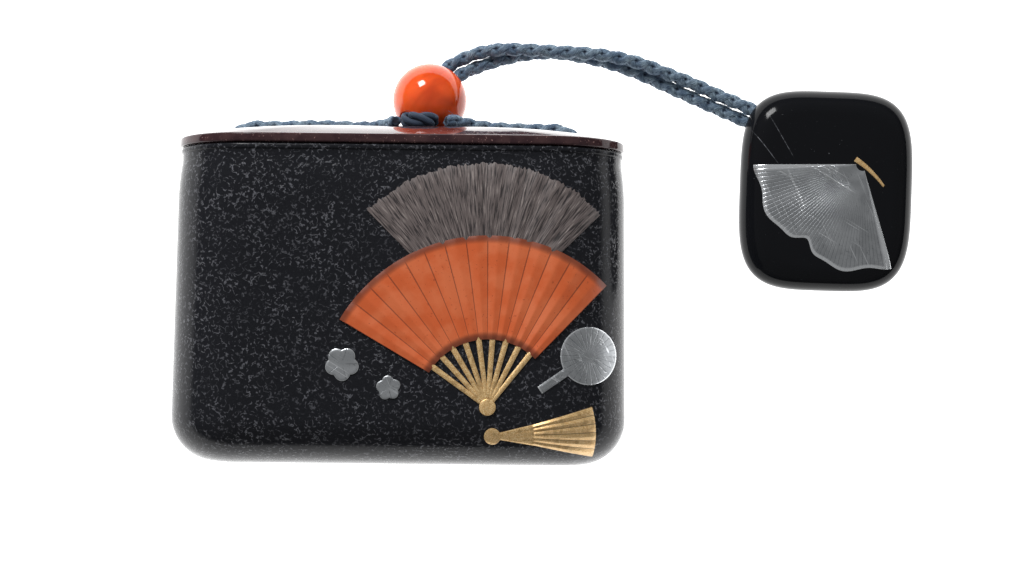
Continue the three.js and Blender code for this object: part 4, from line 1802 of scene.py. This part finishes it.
@dataclass(frozen=True)
class Studio:
    """The camera, the pale table and the soft lights."""

    camera_at: tuple[float, float, float] = (22.45, 3.6, 370.0)
    camera_roll: float = 0.0113
    lens: float = 60.85
    key_power: float = 2.5
    sky_light: float = 6.0
    horizon_light: float = 0.5
    table_glow: float = 2.1
    table_half: float = 2.5
    table_tint: str = "#4a4b4c"
    key_size: float = 0.16
    key_at: tuple[float, float, float] = (-0.18, 0.42, 0.30)

    def camera(self) -> None:
        """Adds the camera straight above the part, as the photograph was taken."""
        data = bpy.data.cameras.new("camera")
        data.lens = self.lens
        data.sensor_width = 36.0
        data.clip_start = 0.01
        data.clip_end = 20.0
        made = bpy.data.objects.new("camera", data)
        made.location = Vector(self.camera_at) * MM
        made.rotation_euler = (0.0, 0.0, self.camera_roll)
        bpy.context.scene.collection.objects.link(made)
        bpy.context.scene.camera = made
        bpy.context.scene.view_settings.view_transform = "Standard"

    def table(self) -> None:
        """Adds the pale table top, which glows a little like a lit sweep."""
        half = self.table_half
        data = bpy.data.meshes.new("table")
        square = [(-half, -half), (half, -half), (half, half), (-half, half)]
        data.from_pydata([(x, y, -0.05 * MM) for x, y in square], [], [(0, 1, 2, 3)])
        shader = Shader("pale_table")
        shader.feed(Base_Color=linear(self.table_tint), Roughness=0.8, Emission_Color=linear("#ffffff"),
                    Emission_Strength=self.table_glow)
        data.materials.append(shader.material)
        made = bpy.data.objects.new("table", data)
        bpy.context.scene.collection.objects.link(made)

    def light(self, name: str, power: float, size: float, at: Sequence[float]) -> None:
        """Adds a square soft light that shines at the part.

        Args:
            name: The light's name.
            power: Its power in watts.
            size: Its side in metres.
            at: Its place in metres.
        """
        data = bpy.data.lights.new(name, "AREA")
        data.energy = power
        data.size = size
        made = bpy.data.objects.new(name, data)
        made.location = at
        made.rotation_euler = (Vector((0.03, 0.0, 0.0)) - Vector(at)).to_track_quat("-Z", "Y").to_euler()
        bpy.context.scene.collection.objects.link(made)

    def sky(self) -> None:
        """Sets a sky that is bright overhead and dims towards the horizon."""
        world = bpy.data.worlds.new("studio")
        bpy.context.scene.world = world
        world.use_nodes = True
        tree = world.node_tree
        place = tree.nodes.new("ShaderNodeTexCoord")
        parts = tree.nodes.new("ShaderNodeSeparateXYZ")
        spread = tree.nodes.new("ShaderNodeMapRange")
        spread.interpolation_type = "SMOOTHSTEP"
        for socket, value in zip(spread.inputs[1:5], (0.0, 0.5, self.horizon_light, self.sky_light)):
            socket.default_value = value
        tree.links.new(place.outputs["Generated"], parts.inputs[0])
        tree.links.new(parts.outputs[2], spread.inputs[0])
        tree.links.new(spread.outputs[0], tree.nodes["Background"].inputs["Strength"])

    def build(self) -> None:
        """Sets the whole scene round the part."""
        self.camera()
        self.table()
        self.sky()
        self.light("key", self.key_power, self.key_size, self.key_at)


def build_cords() -> None:
    """Adds the knot and the four strands."""
    silk = BraidedSilk().make()
    knot = Knot().build(silk)
    for strand in STRANDS:
        strand.build(silk, [knot] if strand.name == "cord_left" else ())
        LOG.info("built %s", strand.name)


def main() -> None:
    """Builds the part's looks in order."""
    logging.basicConfig(level=logging.INFO)
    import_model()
    Studio().build()
    build_cords()
    container = Container()
    container.build()
    Lid(container).build()
    FrontWork().build(container)
    Bead().build()
    Toggle().build()


if __name__ == "__main__":
    main()
